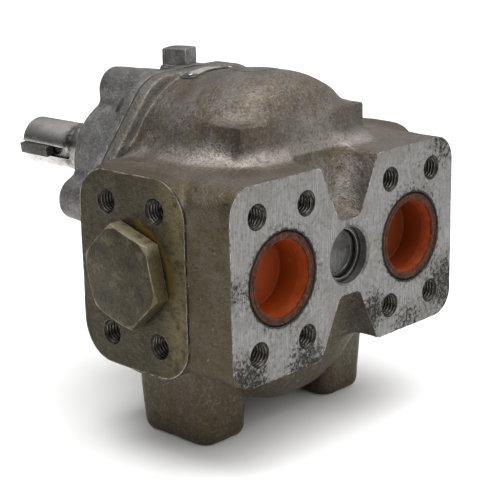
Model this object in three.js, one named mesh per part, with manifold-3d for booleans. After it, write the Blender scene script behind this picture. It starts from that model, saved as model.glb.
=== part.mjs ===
// External gear pump with two rear ports, two side ports and a keyed drive shaft.
// Millimetres, +Z up. The pump is laid out in its own frame: x = 0 on the centre plane,
// y = 0 on the rear port face with +y towards the drive end, z = 0 at port height.
// The whole group is then moved so that the origin is the centre of the shaft's end face.

import * as THREE from 'three';
import { mergeVertices } from 'three/addons/utils/BufferGeometryUtils.js';
import Module from 'manifold-3d';

const wasm = await Module();
wasm.setup();

// ---- driving dimensions -------------------------------------------------------------

const GAP = 0.3; // left between touching pieces
const OVERSHOOT = 1; // how far a cutter passes the face it enters

// gears and shafts
const MODULE = 4.4;
const TEETH = 14;
const PRESSURE_ANGLE = THREE.MathUtils.degToRad(25);
const BACKLASH = 0.3; // tooth thinning on the pitch circle
const PITCH_R = (MODULE * TEETH) / 2;
const TIP_R = PITCH_R + MODULE;
const ROOT_R = PITCH_R - 1.25 * MODULE;
const DRIVE_Z = PITCH_R;
const IDLER_Z = -PITCH_R;
const SHAFT_R = 28.575 / 2;
const SHAFT_END_Y = 252;
const SHAFT_CHAMFER = 1.2;
const RUNNING_GAP = 0.15; // keeps a faceted shaft clear of a faceted bore at every angle

// gear chamber, along y
const CHAMBER_REAR_Y = 40;
const RIM_JOINT_Y = 112; // front face of the housing rim
const GASKET_T = 0.6;
const COVER_REAR_Y = RIM_JOINT_Y + GASKET_T + 2 * GAP;
const COVER_RIM_Y = 120;
const CHAMBER_R = TIP_R + 0.7;
const BLOCK_LEN = 17;
const GEAR_Y0 = CHAMBER_REAR_Y + BLOCK_LEN + 2 * GAP;
const GEAR_Y1 = RIM_JOINT_Y - BLOCK_LEN - 2 * GAP;
const BUSH_R = 17.5;

// housing
const BLOCK_HALF_X = 88.3;
const BLOCK_HALF_Z = 51;
const BLOCK_FRONT_Y = 101;
const WEB_T = 12; // thickness of the web between the two port lobes
const CASE_R = 61.5;
const CASE_FRONT_R = 57.5;
const CASE_REAR_Y = 25;
const CASE_TAPER_Y = 70;
const RIM_REAR_Y = 105;
const RIM_HALF_X = 78.5;
const FOOT_Z = -100;

// ports, with a flange pattern of four tapped holes each
const PORT_X = 51.5;
const PORT_R = 19.05;
const LIP_R = 24.6;
const LIP_DEPTH = 3;
const MOUTH_R = 21.2; // wider first length of the rear port, which takes the shipping cap
const MOUTH_DEPTH = 23;
const CAP_FLOOR_Y = 19; // inner floor of a shipping cap
const BOLT_DX = 17.86;
const BOLT_DZ = 34.925;
const BOLT_R = 12.7 / 2;
const BOLT_DEPTH = 25;
const SIDE_PORT_Y = 64.4;
const PAD_FACE_X = 93.2;
const PAD_HALF_Y = 38.5;
const PAD_HALF_Z = 51.5;
const PAD_CORNER_R = 20;
const PORT_BORE_END_Y = 84;

// plug in the hole between the rear ports, with its snap ring and sealing ring
const CENTRE_Z = 0.5;
const CENTRE_R = 15.1;
const CENTRE_DEPTH = 22;
const CENTRE_GROOVE_Y = [5.5, 7.5]; // groove of the snap ring, in the hole's wall
const CENTRE_NECK_R = 12.8; // groove of the sealing ring, in the plug
const CENTRE_NECK_Y = [13.6, 16.4];

// side plugs
const HEX_AF = 47.6;
const HEX_HEIGHT = 9.2;
const HEX_TURN = THREE.MathUtils.degToRad(-13.3);
const PLUG_SHANK_R = 18.6;
const PLUG_SHANK_LEN = 16;
const SPOT_R = 22; // recess for the sealing ring under the plug's head
const SPOT_DEPTH = 2;

// front cover
const HUB_FRONT_Y = 178;
const PILOT_FRONT_Y = 186;
const PILOT_R = 23.5;
const LUG_CIRCLE_R = 39.6;
const LUG_R = 12.5;
const LUG_DRAFT = 3.4; // extra radius at the lug's root
const LUG_ANGLES = [90, 210, 330].map(THREE.MathUtils.degToRad);
const SEAL_R = 19;
const SEAL_REAR_Y = 168;
const SEAL_GROOVE_Y = [178, 180];
const SNAP_RING_T = 1.4;
const SHAFT_WAY_R = SHAFT_R + 1.2; // passage behind the seal
const PIPE_PLUG = { x: 2.5, y: 125.5, square: 14.3, height: 9.6, turn: THREE.MathUtils.degToRad(21) };
const RIM_TOP_Z = 88.5;
const DRAIN_R = 9.6;
const DRAIN_BOSS_R = 11;
const PLATE = { halfX: 18, y0: 93, y1: 104.4, thickness: 0.6 };

// fasteners
const COVER_BOLT_R = 5;
const COVER_BOLT_AF = 15;
const COVER_BOLT_HEAD = 7.4;
const COVER_BOLT_DEPTH = 20; // reach into the housing
const COVER_BOLT_SITES = [[37, 67], [63, 22], [63, -22], [37, -67]];
const DOWEL_R = 4;
const DOWEL_X = 66;
const DOWEL_IN_HOUSING = 7;
const DOWEL_IN_COVER = 3;

// keys and keyways
const KEY_W = 6.35;
const KEY_ANGLE = THREE.MathUtils.degToRad(188);
const KEY_Y = [225, 250];
const KEYWAY_START_Y = 206.5;
const KEYWAY_DEPTH = 3.3;
const KEY_BOTTOM_R = SHAFT_R - KEYWAY_DEPTH;
const KEY_TOP_R = SHAFT_R + 3;

// facet counts
const ROUND = 24;
const SMALL_ROUND = 10;

// ---- geometry helpers ----------------------------------------------------------------

// A closed BufferGeometry as a solid that can be joined and cut.
function solid(geometry) {
  geometry.deleteAttribute('normal');
  geometry.deleteAttribute('uv');
  const merged = mergeVertices(geometry, 1e-4);
  return new wasm.Manifold(new wasm.Mesh({
    numProp: 3,
    vertProperties: new Float32Array(merged.attributes.position.array),
    triVerts: new Uint32Array(merged.index.array),
  }));
}

// The solid's faces as a flat-shaded BufferGeometry.
function geometryOf(body) {
  const { vertProperties, triVerts } = body.getMesh();
  const geometry = new THREE.BufferGeometry();
  geometry.setAttribute('position', new THREE.BufferAttribute(vertProperties, 3));
  geometry.setIndex(new THREE.BufferAttribute(triVerts, 1));
  const faceted = geometry.toNonIndexed();
  faceted.computeVertexNormals();
  return faceted;
}

const join = (...bodies) => bodies.reduce((whole, body) => whole.add(body));
const cut = (body, ...cutters) => cutters.reduce((rest, cutter) => rest.subtract(cutter), body);

// A polygon whose corners [a, b, radius] are rounded by arcs of that radius.
function roundedShape(corners) {
  const shape = new THREE.Shape();
  corners.forEach(([a, b, radius = 0], i) => {
    const corner = new THREE.Vector2(a, b);
    const [pa, pb] = corners.at(i - 1);
    const [na, nb] = corners[(i + 1) % corners.length];
    const back = new THREE.Vector2(pa - a, pb - b).normalize();
    const ahead = new THREE.Vector2(na - a, nb - b).normalize();
    const halfAngle = Math.acos(THREE.MathUtils.clamp(back.dot(ahead), -1, 1)) / 2;
    const run = radius / Math.tan(halfAngle);
    const start = corner.clone().addScaledVector(back, run);
    const end = corner.clone().addScaledVector(ahead, run);
    if (i === 0) shape.moveTo(start.x, start.y);
    else shape.lineTo(start.x, start.y);
    if (radius > 0) shape.quadraticCurveTo(corner.x, corner.y, end.x, end.y);
  });
  shape.closePath();
  return shape;
}

function rectangle(halfA, halfB, radius, centreA = 0, centreB = 0) {
  return roundedShape([[-1, -1], [1, -1], [1, 1], [-1, 1]]
    .map(([a, b]) => [centreA + a * halfA, centreB + b * halfB, radius]));
}

function extrusion(shape, depth, curveSegments) {
  return new THREE.ExtrudeGeometry(shape, { depth, bevelEnabled: false, curveSegments });
}

// An outline in x and z, swept along y.
function prismY(shape, y0, y1, curveSegments = 4) {
  return solid(extrusion(shape, y1 - y0, curveSegments).rotateX(Math.PI / 2).translate(0, y1, 0));
}

// An outline in y and z, swept along x.
function prismX(shape, x0, x1, curveSegments = 4) {
  const turn = new THREE.Matrix4().makeBasis(
    new THREE.Vector3(0, 1, 0), new THREE.Vector3(0, 0, 1), new THREE.Vector3(1, 0, 0));
  return solid(extrusion(shape, x1 - x0, curveSegments).applyMatrix4(turn).translate(x0, 0, 0));
}

function box([x0, x1], [y0, y1], [z0, z1]) {
  return solid(new THREE.BoxGeometry(x1 - x0, y1 - y0, z1 - z0)
    .translate((x0 + x1) / 2, (y0 + y1) / 2, (z0 + z1) / 2));
}

// A profile of [radius, y] points, from the axis back to the axis or closed on itself.
function latheGeometry(profile, segments = ROUND) {
  return new THREE.LatheGeometry(profile.map(([r, y]) => new THREE.Vector2(r, y)), segments);
}

// A body of revolution about the line through (x, z) along y.
function latheY(profile, x, z, segments) {
  return solid(latheGeometry(profile, segments).translate(x, 0, z));
}

// A body of revolution about the line through (y, z) along x, with profile points [radius, x].
function latheX(profile, y, z, segments) {
  return solid(latheGeometry(profile, segments).rotateZ(-Math.PI / 2).translate(0, y, z));
}

const rod = (radius, from, to) => [[0, from], [radius, from], [radius, to], [0, to]];
const tube = (inner, outer, from, to) =>
  [[inner, from], [outer, from], [outer, to], [inner, to], [inner, from]];

// Every mesh goes through here, so that each has a name and a material of its own.
function piece(name, body, color, roughness, metalness) {
  const mesh = new THREE.Mesh(
    geometryOf(body),
    new THREE.MeshStandardMaterial({ color, roughness, metalness }));
  mesh.name = name;
  return mesh;
}

const castPiece = (name, body) => piece(name, body, '#8f8678', 0.6, 0.7);
const steelPiece = (name, body) => piece(name, body, '#8d8880', 0.35, 1);
const darkSteelPiece = (name, body) => piece(name, body, '#4c4a47', 0.45, 0.9);
const bronzePiece = (name, body) => piece(name, body, '#9a7a4a', 0.4, 1);
const rubberPiece = (name, body) => piece(name, body, '#1c1b1a', 0.8, 0);
const zincPiece = (name, body) => piece(name, body, '#8c8153', 0.4, 0.9);
const orangePiece = (name, body) => piece(name, body, '#c4420f', 0.55, 0);

// ---- outlines ------------------------------------------------------------------------

const mirrored = (points) => [...points, ...points.map(([x, z, r]) => [-x, z, r]).reverse()];

// Eight-sided rim shared by the housing, the gasket and the cover.
function rimOutline() {
  return roundedShape(mirrored([
    [32, -RIM_TOP_Z, 25], [RIM_HALF_X, -56.5, 28], [RIM_HALF_X, 34.4, 32], [35, RIM_TOP_Z, 28],
  ]));
}

// Port face: two lobes joined by a narrow web between a V notch above and one below.
function portFaceOutline() {
  const lobe = [
    [8, -20, 7], [23, -BLOCK_HALF_Z, 8], [BLOCK_HALF_X, -BLOCK_HALF_Z, 14],
    [BLOCK_HALF_X, BLOCK_HALF_Z, 14], [23, BLOCK_HALF_Z, 8], [8, 20, 7],
  ];
  return roundedShape(mirrored(lobe));
}

// The two chamber circles as one outline, grown or shrunk by an offset.
function chamberCutter(offset, y0, y1) {
  const circle = rod(CHAMBER_R + offset, y0, y1);
  return join(latheY(circle, 0, DRIVE_Z), latheY(circle, 0, IDLER_Z));
}

// ---- housing ---------------------------------------------------------------------------

// Round case over one gear axis, with a domed rear end.
function caseDome(radius, z) {
  return latheY([
    [0, CASE_REAR_Y], [radius - 13, CASE_REAR_Y], [radius - 6, CASE_REAR_Y + 3],
    [radius - 1.5, CASE_REAR_Y + 9], [radius, CASE_REAR_Y + 20], [radius, CASE_TAPER_Y],
    [CASE_FRONT_R, RIM_REAR_Y + OVERSHOOT], [0, RIM_REAR_Y + OVERSHOOT]], 0, z);
}

function gearCase() {
  const waist = box(
    [-CASE_FRONT_R, CASE_FRONT_R], [CASE_REAR_Y + 10, RIM_REAR_Y + 1], [IDLER_Z, DRIVE_Z]);
  return join(caseDome(CASE_R, DRIVE_Z), caseDome(CASE_FRONT_R, IDLER_Z), waist);
}

// Port block behind the bow-tie face, with a sloping floor in each notch.
function portBlock() {
  const behind = rectangle(BLOCK_HALF_X, BLOCK_HALF_Z, 14);
  const upperFloor = roundedShape([
    [-OVERSHOOT, 18], [WEB_T, 18], [CASE_REAR_Y + 3, 56], [-OVERSHOOT, 56]]);
  const lowerFloor = roundedShape([
    [-OVERSHOOT, -56], [CASE_REAR_Y + 3, -56], [WEB_T, -18], [-OVERSHOOT, -18]]);
  const notches = join(prismX(upperFloor, -30, 30), prismX(lowerFloor, -30, 30));
  const full = prismY(behind, 0, BLOCK_FRONT_Y, 3);
  const depth = CASE_REAR_Y + 4;
  const outsideLobes = cut(notches, prismY(portFaceOutline(), -2 * OVERSHOOT, depth, 3));
  return cut(full, outsideLobes);
}

function sidePad(side) {
  const outline = rectangle(PAD_HALF_Y, PAD_HALF_Z, PAD_CORNER_R, SIDE_PORT_Y, 0);
  const face = side * PAD_FACE_X;
  const root = side * (BLOCK_HALF_X - 18);
  return prismX(outline, Math.min(face, root), Math.max(face, root), 5);
}

// Squared shoulder where the dome meets the top of the port block.
function shoulder(side) {
  const outline = roundedShape([[27, 40], [72, 40], [66, 67, 8], [29, 70, 3]]);
  const [inner, outer] = [18, 48.5];
  return prismX(outline, side > 0 ? inner : -outer, side > 0 ? outer : -inner);
}

function foot(side) {
  const outline = roundedShape([
    [side * 31, FOOT_Z, 4], [side * 64.5, FOOT_Z, 4], [side * 67, -46], [side * 27, -46]]);
  return prismY(outline, 44, 96, 2);
}

function frontTappedHoles() {
  const holeEnd = RIM_JOINT_Y - COVER_BOLT_DEPTH - 4;
  return COVER_BOLT_SITES.flatMap(([x, z]) => [-x, x].map((at) =>
    latheY(rod(COVER_BOLT_R + GAP, holeEnd, RIM_JOINT_Y + OVERSHOOT), at, z, SMALL_ROUND)));
}

// Tapped hole with a drill point at its end; the profile runs from the mouth inwards.
function tappedHole(mouth, inward) {
  const at = (distance) => mouth + inward * distance;
  const points = [
    [0, at(-OVERSHOOT)], [BOLT_R, at(-OVERSHOOT)], [BOLT_R, at(BOLT_DEPTH - 3)], [0, at(BOLT_DEPTH)],
  ];
  return inward > 0 ? points : points.reverse();
}

function rearPortCutters(side) {
  const x = side * PORT_X;
  const bore = latheY([
    [0, -OVERSHOOT], [LIP_R, -OVERSHOOT], [LIP_R, LIP_DEPTH], [MOUTH_R, LIP_DEPTH],
    [MOUTH_R, MOUTH_DEPTH], [PORT_R, MOUTH_DEPTH + 2], [PORT_R, PORT_BORE_END_Y - 6],
    [0, PORT_BORE_END_Y]], x, 0);
  const holes = [-1, 1].flatMap((a) => [-1, 1].map((b) =>
    latheY(tappedHole(0, 1), x + a * BOLT_DX, b * BOLT_DZ, SMALL_ROUND)));
  const passage = box(side > 0 ? [8, x] : [x, -8], [GEAR_Y0 + 2, PORT_BORE_END_Y - 6], [-13, 13]);
  return [bore, ...holes, passage];
}

function sidePortCutters(side) {
  const face = side * PAD_FACE_X;
  const at = (distance) => face - side * distance;
  const profile = [
    [0, at(-OVERSHOOT)], [SPOT_R, at(-OVERSHOOT)], [SPOT_R, at(SPOT_DEPTH)], [PORT_R, at(SPOT_DEPTH)],
    [PORT_R, side * PORT_X], [0, side * PORT_X],
  ];
  const bore = latheX(side > 0 ? profile.reverse() : profile, SIDE_PORT_Y, 0);
  const holes = [-1, 1].flatMap((a) => [-1, 1].map((b) => latheX(
    tappedHole(face, -side), SIDE_PORT_Y + a * BOLT_DX, b * BOLT_DZ, SMALL_ROUND)));
  return [bore, ...holes];
}

// Stepped hole for the centre plug, with a groove for its snap ring.
function centreHole() {
  const [rear, front] = CENTRE_GROOVE_Y;
  return latheY([
    [0, -OVERSHOOT], [CENTRE_R + 1.2, -OVERSHOOT], [CENTRE_R, 0.8], [CENTRE_R, rear],
    [CENTRE_R + 1.1, rear], [CENTRE_R + 1.1, front], [CENTRE_R, front], [CENTRE_R, CENTRE_DEPTH],
    [0, CENTRE_DEPTH]], 0, CENTRE_Z);
}

function dowelHoles(from, to) {
  return [-1, 1].map((side) => latheY(rod(DOWEL_R + GAP, from, to), side * DOWEL_X, 0, SMALL_ROUND));
}

function housing() {
  const rim = prismY(rimOutline(), RIM_REAR_Y, RIM_JOINT_Y);
  const casting = join(
    gearCase(), portBlock(), rim, sidePad(-1), sidePad(1),
    shoulder(-1), shoulder(1), foot(-1), foot(1));
  return castPiece('housing', cut(
    casting, chamberCutter(0, CHAMBER_REAR_Y, RIM_JOINT_Y + OVERSHOOT),
    ...rearPortCutters(-1), ...rearPortCutters(1), ...sidePortCutters(-1), ...sidePortCutters(1),
    centreHole(), ...frontTappedHoles(),
    ...dowelHoles(RIM_JOINT_Y - DOWEL_IN_HOUSING - 1, RIM_JOINT_Y + OVERSHOOT)));
}

// ---- front cover and gasket ------------------------------------------------------------

const lugSites = LUG_ANGLES.map((angle) =>
  [LUG_CIRCLE_R * Math.cos(angle), DRIVE_Z + LUG_CIRCLE_R * Math.sin(angle)]);

// Conical neck that carries the shaft seal and ends in a round locating spigot.
function coverNeck() {
  return latheY([
    [0, COVER_REAR_Y], [43.5, COVER_REAR_Y], [43.5, COVER_RIM_Y], [40.5, COVER_RIM_Y + 5],
    [37, COVER_RIM_Y + 25], [34.5, HUB_FRONT_Y - 4], [33, HUB_FRONT_Y], [PILOT_R, HUB_FRONT_Y],
    [PILOT_R, PILOT_FRONT_Y - 1], [PILOT_R - 1, PILOT_FRONT_Y], [0, PILOT_FRONT_Y]], 0, DRIVE_Z);
}

function coverLug([x, z]) {
  return latheY([
    [0, COVER_REAR_Y], [LUG_R + LUG_DRAFT, COVER_REAR_Y], [LUG_R, HUB_FRONT_Y - 2],
    [LUG_R - 2, HUB_FRONT_Y], [0, HUB_FRONT_Y]], x, z, 20);
}

function idlerDome() {
  return latheY([
    [0, COVER_REAR_Y], [36, COVER_REAR_Y], [33, COVER_RIM_Y + 4], [29, COVER_RIM_Y + 10],
    [0, COVER_RIM_Y + 10]], 0, IDLER_Z, 24);
}

function shaftPassage() {
  const [rear, front] = SEAL_GROOVE_Y;
  return latheY([
    [0, COVER_REAR_Y - OVERSHOOT], [SHAFT_WAY_R, COVER_REAR_Y - OVERSHOOT],
    [SHAFT_WAY_R, SEAL_REAR_Y], [SEAL_R, SEAL_REAR_Y], [SEAL_R, rear], [SEAL_R + 1.2, rear],
    [SEAL_R + 1.2, front], [SEAL_R, front], [SEAL_R, PILOT_FRONT_Y + OVERSHOOT],
    [0, PILOT_FRONT_Y + OVERSHOOT]], 0, DRIVE_Z);
}

// Tapped drain hole down through the top lug.
function drainHole() {
  const { x, y } = PIPE_PLUG;
  return solid(latheGeometry(rod(DRAIN_R, -19, 3), 16).rotateX(Math.PI / 2)
    .translate(x, y, RIM_TOP_Z));
}

// Raised seat around the drain hole, level with the rim.
function drainBoss() {
  const { x, y } = PIPE_PLUG;
  return solid(latheGeometry(rod(DRAIN_BOSS_R, -18, 0), 16).rotateX(Math.PI / 2)
    .translate(x, y, RIM_TOP_Z));
}

function frontCover() {
  const plate = prismY(rimOutline(), COVER_REAR_Y, COVER_RIM_Y);
  const casting = join(plate, coverNeck(), idlerDome(), drainBoss(), ...lugSites.map(coverLug));
  const boltHoles = COVER_BOLT_SITES.flatMap(([x, z]) => [-x, x].map((at) => latheY(
    rod(COVER_BOLT_R + 0.5, COVER_REAR_Y - OVERSHOOT, COVER_RIM_Y + OVERSHOOT), at, z, SMALL_ROUND)));
  const lugHoles = lugSites.map(([x, z]) =>
    latheY(rod(COVER_BOLT_R, HUB_FRONT_Y - 20, HUB_FRONT_Y + OVERSHOOT), x, z, SMALL_ROUND));
  return castPiece('front_cover', cut(
    casting, shaftPassage(), drainHole(), ...boltHoles, ...lugHoles,
    ...dowelHoles(COVER_REAR_Y - OVERSHOOT, COVER_REAR_Y + DOWEL_IN_COVER + 1)));
}

function coverGasket() {
  const y0 = RIM_JOINT_Y + GAP;
  const y1 = y0 + GASKET_T;
  const holes = COVER_BOLT_SITES.flatMap(([x, z]) => [-x, x].map((at) => latheY(
    rod(COVER_BOLT_R + 0.5, y0 - OVERSHOOT, y1 + OVERSHOOT), at, z, SMALL_ROUND)));
  return rubberPiece('cover_gasket', cut(
    prismY(rimOutline(), y0, y1), chamberCutter(1, y0 - OVERSHOOT, y1 + OVERSHOOT),
    ...holes, ...dowelHoles(y0 - OVERSHOOT, y1 + OVERSHOOT)));
}

// ---- gears, shafts and keys ------------------------------------------------------------

// Involute gear outline with one tooth centred on the given angle.
function gearShape(phase) {
  const baseR = PITCH_R * Math.cos(PRESSURE_ANGLE);
  const involute = (angle) => Math.tan(angle) - angle;
  const halfAtPitch = Math.PI / (2 * TEETH) - BACKLASH / (2 * PITCH_R);
  const halfAt = (radius) =>
    halfAtPitch + involute(PRESSURE_ANGLE) - involute(Math.acos(Math.min(1, baseR / radius)));
  const flank = [baseR, 29.2, PITCH_R, 33, TIP_R].map((radius) => [radius, halfAt(radius)]);
  const rising = [[ROOT_R, flank[0][1] + 0.02], ...flank];
  const outline = Array.from({ length: TEETH }, (_, tooth) => {
    const centre = phase + (tooth * 2 * Math.PI) / TEETH;
    return [
      ...rising.map(([radius, half]) => [radius, centre - half]),
      ...rising.toReversed().map(([radius, half]) => [radius, centre + half]),
    ];
  }).flat();
  return new THREE.Shape(outline.map(([radius, angle]) =>
    new THREE.Vector2(radius * Math.cos(angle), radius * Math.sin(angle))));
}

const GEAR_KEY_HALF = KEY_W / 2;
const GEAR_KEY_Y = [GEAR_Y0 + 6, GEAR_Y1 - 6];

// Gear on its shaft, with a bore and a slot for its key.
function gear(name, z, phase) {
  const blank = prismY(gearShape(phase), GEAR_Y0, GEAR_Y1).translate([0, 0, z]);
  const bore = latheY(
    rod(SHAFT_R + GAP, GEAR_Y0 - OVERSHOOT, GEAR_Y1 + OVERSHOOT), 0, z);
  const slot = box(
    [-GEAR_KEY_HALF - GAP, GEAR_KEY_HALF + GAP], [GEAR_Y0 - OVERSHOOT, GEAR_Y1 + OVERSHOOT],
    [z, z + SHAFT_R + KEYWAY_DEPTH + GAP]);
  return steelPiece(name, cut(blank, bore, slot));
}

function gearKeySlot(z) {
  return box(
    [-GEAR_KEY_HALF - GAP, GEAR_KEY_HALF + GAP], [GEAR_KEY_Y[0] - GAP, GEAR_KEY_Y[1] + GAP],
    [z + KEY_BOTTOM_R, z + SHAFT_R + OVERSHOOT]);
}

function gearKey(name, z) {
  return darkSteelPiece(name, box(
    [-GEAR_KEY_HALF, GEAR_KEY_HALF], GEAR_KEY_Y, [z + KEY_BOTTOM_R + GAP, z + SHAFT_R + KEYWAY_DEPTH]));
}

function driveShaft() {
  const start = CHAMBER_REAR_Y + 2;
  const bar = latheY([
    [0, start], [SHAFT_R - 1, start], [SHAFT_R, start + 1], [SHAFT_R, SHAFT_END_Y - SHAFT_CHAMFER],
    [SHAFT_R - SHAFT_CHAMFER, SHAFT_END_Y], [0, SHAFT_END_Y]], 0, DRIVE_Z);
  return steelPiece('drive_shaft', cut(
    bar, outputKeyBar(KEYWAY_START_Y, SHAFT_END_Y + OVERSHOOT, KEY_BOTTOM_R, SHAFT_R + 5, GAP),
    gearKeySlot(DRIVE_Z)));
}

// A square bar that lies along the shaft at the key's angle, from one radius to another.
function outputKeyBar(y0, y1, innerR, outerR, clearance) {
  const bar = new THREE.BoxGeometry(outerR - innerR, y1 - y0, KEY_W + 2 * clearance)
    .translate((innerR + outerR) / 2, (y0 + y1) / 2, 0)
    .rotateY(-KEY_ANGLE)
    .translate(0, 0, DRIVE_Z);
  return solid(bar);
}

function shaftKey() {
  return darkSteelPiece('shaft_key', outputKeyBar(...KEY_Y, KEY_BOTTOM_R + GAP, KEY_TOP_R, 0));
}

function idlerShaft() {
  const [y0, y1] = [CHAMBER_REAR_Y + 2, RIM_JOINT_Y - 2];
  const bar = latheY([
    [0, y0], [SHAFT_R - 1, y0], [SHAFT_R, y0 + 1], [SHAFT_R, y1 - 1], [SHAFT_R - 1, y1], [0, y1]],
  0, IDLER_Z);
  return steelPiece('idler_shaft', cut(bar, gearKeySlot(IDLER_Z)));
}

// ---- bushing blocks, bushes and seals --------------------------------------------------

// Block in the shape of the chamber, bored for one bush on each gear axis.
function bushingBlock(name, y0) {
  const y1 = y0 + BLOCK_LEN;
  const bores = [DRIVE_Z, IDLER_Z].map((z) =>
    latheY(rod(BUSH_R + GAP, y0 - OVERSHOOT, y1 + OVERSHOOT), 0, z));
  return castPiece(name, cut(chamberCutter(-GAP, y0, y1), ...bores));
}

function bush(name, z, y0) {
  return bronzePiece(name, latheY(
    tube(SHAFT_R + RUNNING_GAP, BUSH_R, y0, y0 + BLOCK_LEN), 0, z));
}

const BLOCK_STARTS = { rear: CHAMBER_REAR_Y + GAP, front: RIM_JOINT_Y - GAP - BLOCK_LEN };

function bearings() {
  return Object.entries(BLOCK_STARTS).flatMap(([end, y0]) => [
    bushingBlock(`${end}_bushing_block`, y0),
    bush(`drive_bush_${end}`, DRIVE_Z, y0),
    bush(`idler_bush_${end}`, IDLER_Z, y0),
  ]);
}

// Lip seal, cup-shaped towards the gears.
function shaftSeal() {
  const front = SEAL_GROOVE_Y[0] - 0.5;
  return rubberPiece('shaft_seal', latheY([
    [SHAFT_R + RUNNING_GAP, SEAL_REAR_Y + 2], [SHAFT_R + 1.5, SEAL_REAR_Y + 1],
    [SEAL_R - GAP, SEAL_REAR_Y + GAP], [SEAL_R - GAP, front], [SHAFT_R + 1.5, front],
    [SHAFT_R + RUNNING_GAP, SEAL_REAR_Y + 4], [SHAFT_R + RUNNING_GAP, SEAL_REAR_Y + 2]],
  0, DRIVE_Z));
}

// Spring ring with an opening between its ends, lying in a groove that starts at grooveY.
function snapRing(name, innerR, outerR, grooveY, z) {
  const y0 = grooveY + GAP;
  const y1 = y0 + SNAP_RING_T;
  const ring = latheY(tube(innerR, outerR, y0, y1), 0, z);
  const opening = box([-3, 3], [y0 - OVERSHOOT, y1 + OVERSHOOT], [z - outerR - 1, z]);
  return darkSteelPiece(name, cut(ring, opening));
}

// ---- plugs and caps --------------------------------------------------------------------

function hexagon(acrossFlats, turn) {
  const radius = acrossFlats / Math.sqrt(3);
  return new THREE.Shape(Array.from({ length: 6 }, (_, i) => {
    const angle = turn + ((i + 0.5) * Math.PI) / 3;
    return new THREE.Vector2(radius * Math.cos(angle), radius * Math.sin(angle));
  }));
}

// Hexagon-head port plug; the corners of the head are turned down to a chamfer.
function sidePlug(name, side) {
  const seat = PAD_FACE_X + GAP;
  const top = PAD_FACE_X + HEX_HEIGHT;
  const span = (from, to) => (side > 0 ? [from, to] : [-to, -from]);
  const head = prismX(hexagon(HEX_AF, HEX_TURN), ...span(seat, top)).translate([0, SIDE_PORT_Y, 0]);
  const chamfer = [
    [0, seat - OVERSHOOT], [30, seat - OVERSHOOT], [30, top - 1.6], [HEX_AF / 2 + 2.4, top], [0, top],
  ].map(([r, x]) => [r, side * x]);
  const turned = latheX(side > 0 ? chamfer : chamfer.reverse(), SIDE_PORT_Y, 0);
  const shank = latheX(
    rod(PLUG_SHANK_R, ...span(seat - PLUG_SHANK_LEN, seat + OVERSHOOT)), SIDE_PORT_Y, 0);
  return zincPiece(name, join(head.intersect(turned), shank));
}

function sidePlugRing(name, side) {
  const seat = PAD_FACE_X - SPOT_DEPTH;
  const [from, to] = side > 0 ? [seat + GAP, PAD_FACE_X] : [-PAD_FACE_X, -seat - GAP];
  return rubberPiece(name, latheX(tube(PLUG_SHANK_R + GAP, SPOT_R - GAP, from, to), SIDE_PORT_Y, 0));
}

// Plastic shipping cap: a stepped cup with a lip that lies in the port's recess.
function portCap(name, side) {
  const profile = [
    [LIP_R - GAP, GAP], [LIP_R - GAP, LIP_DEPTH - GAP], [MOUTH_R - GAP, LIP_DEPTH - GAP],
    [19.3, 8.6], [18.7, 21], [0, 21], [0, CAP_FLOOR_Y], [17, CAP_FLOOR_Y], [17.4, 8.4], [17.9, 7.9],
    [19.4, GAP + 0.6], [19.8, GAP], [LIP_R - GAP, GAP],
  ];
  return orangePiece(name, latheY(capProfile(profile), side * PORT_X, 0));
}

// The cup's profile starts and ends on the axis at the middle of its floor.
function capProfile(points) {
  const floor = points.findIndex(([r]) => r === 0);
  const ring = points.slice(0, -1);
  return [...ring.slice(floor + 1), ...ring.slice(0, floor + 1)];
}

// Disc with a raised face and a groove round its rim.
function centrePlug() {
  const outer = CENTRE_R - GAP;
  const [rear, front] = CENTRE_NECK_Y;
  return steelPiece('centre_plug', latheY([
    [0, 8.2], [12.6, 8.2], [12.6, 9], [outer, 9], [outer, rear], [CENTRE_NECK_R, rear],
    [CENTRE_NECK_R, front], [outer, front], [outer, CENTRE_DEPTH - 2], [0, CENTRE_DEPTH - 2]],
  0, CENTRE_Z));
}

function centrePlugRing() {
  const [rear, front] = CENTRE_NECK_Y;
  return rubberPiece('centre_plug_oring', latheY(
    tube(CENTRE_NECK_R + GAP, CENTRE_R - GAP / 2, rear + GAP, front - GAP), 0, CENTRE_Z));
}

// Square-head taper plug standing in the drain hole.
function topPipePlug() {
  const { x, y, square, height, turn } = PIPE_PLUG;
  const head = new THREE.BoxGeometry(square, square, height).translate(0, 0, height / 2);
  const shank = latheGeometry([[0, -14], [8.6, -14], [9.2, 0.5], [0, 0.5]], 16).rotateX(Math.PI / 2);
  return darkSteelPiece('top_pipe_plug', join(solid(head), solid(shank))
    .rotate([0, 0, THREE.MathUtils.radToDeg(turn)]).translate([x, y, RIM_TOP_Z + GAP]));
}

// ---- fasteners and nameplate -----------------------------------------------------------

// Hexagon-head screw with a washer face, through the cover rim into the housing.
function coverBolt(name, x, z) {
  const seat = COVER_RIM_Y + GAP;
  const tip = RIM_JOINT_Y - COVER_BOLT_DEPTH;
  const shank = latheY([
    [0, tip], [COVER_BOLT_R, tip + 1], [COVER_BOLT_R, seat], [8, seat], [8, seat + 1],
    [0, seat + 1]], x, z, SMALL_ROUND);
  const head = prismY(hexagon(COVER_BOLT_AF, 0), seat + 0.5, seat + COVER_BOLT_HEAD)
    .translate([x, 0, z]);
  return darkSteelPiece(name, join(shank, head));
}

function coverBolts() {
  return COVER_BOLT_SITES.flatMap(([x, z], row) => [[-x, 'left'], [x, 'right']].map(([at, side]) =>
    coverBolt(`cover_bolt_${side}_${row + 1}`, at, z)));
}

function dowel(name, side) {
  return steelPiece(name, latheY(
    rod(DOWEL_R, RIM_JOINT_Y - DOWEL_IN_HOUSING, COVER_REAR_Y + DOWEL_IN_COVER),
    side * DOWEL_X, 0, SMALL_ROUND));
}

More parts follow.
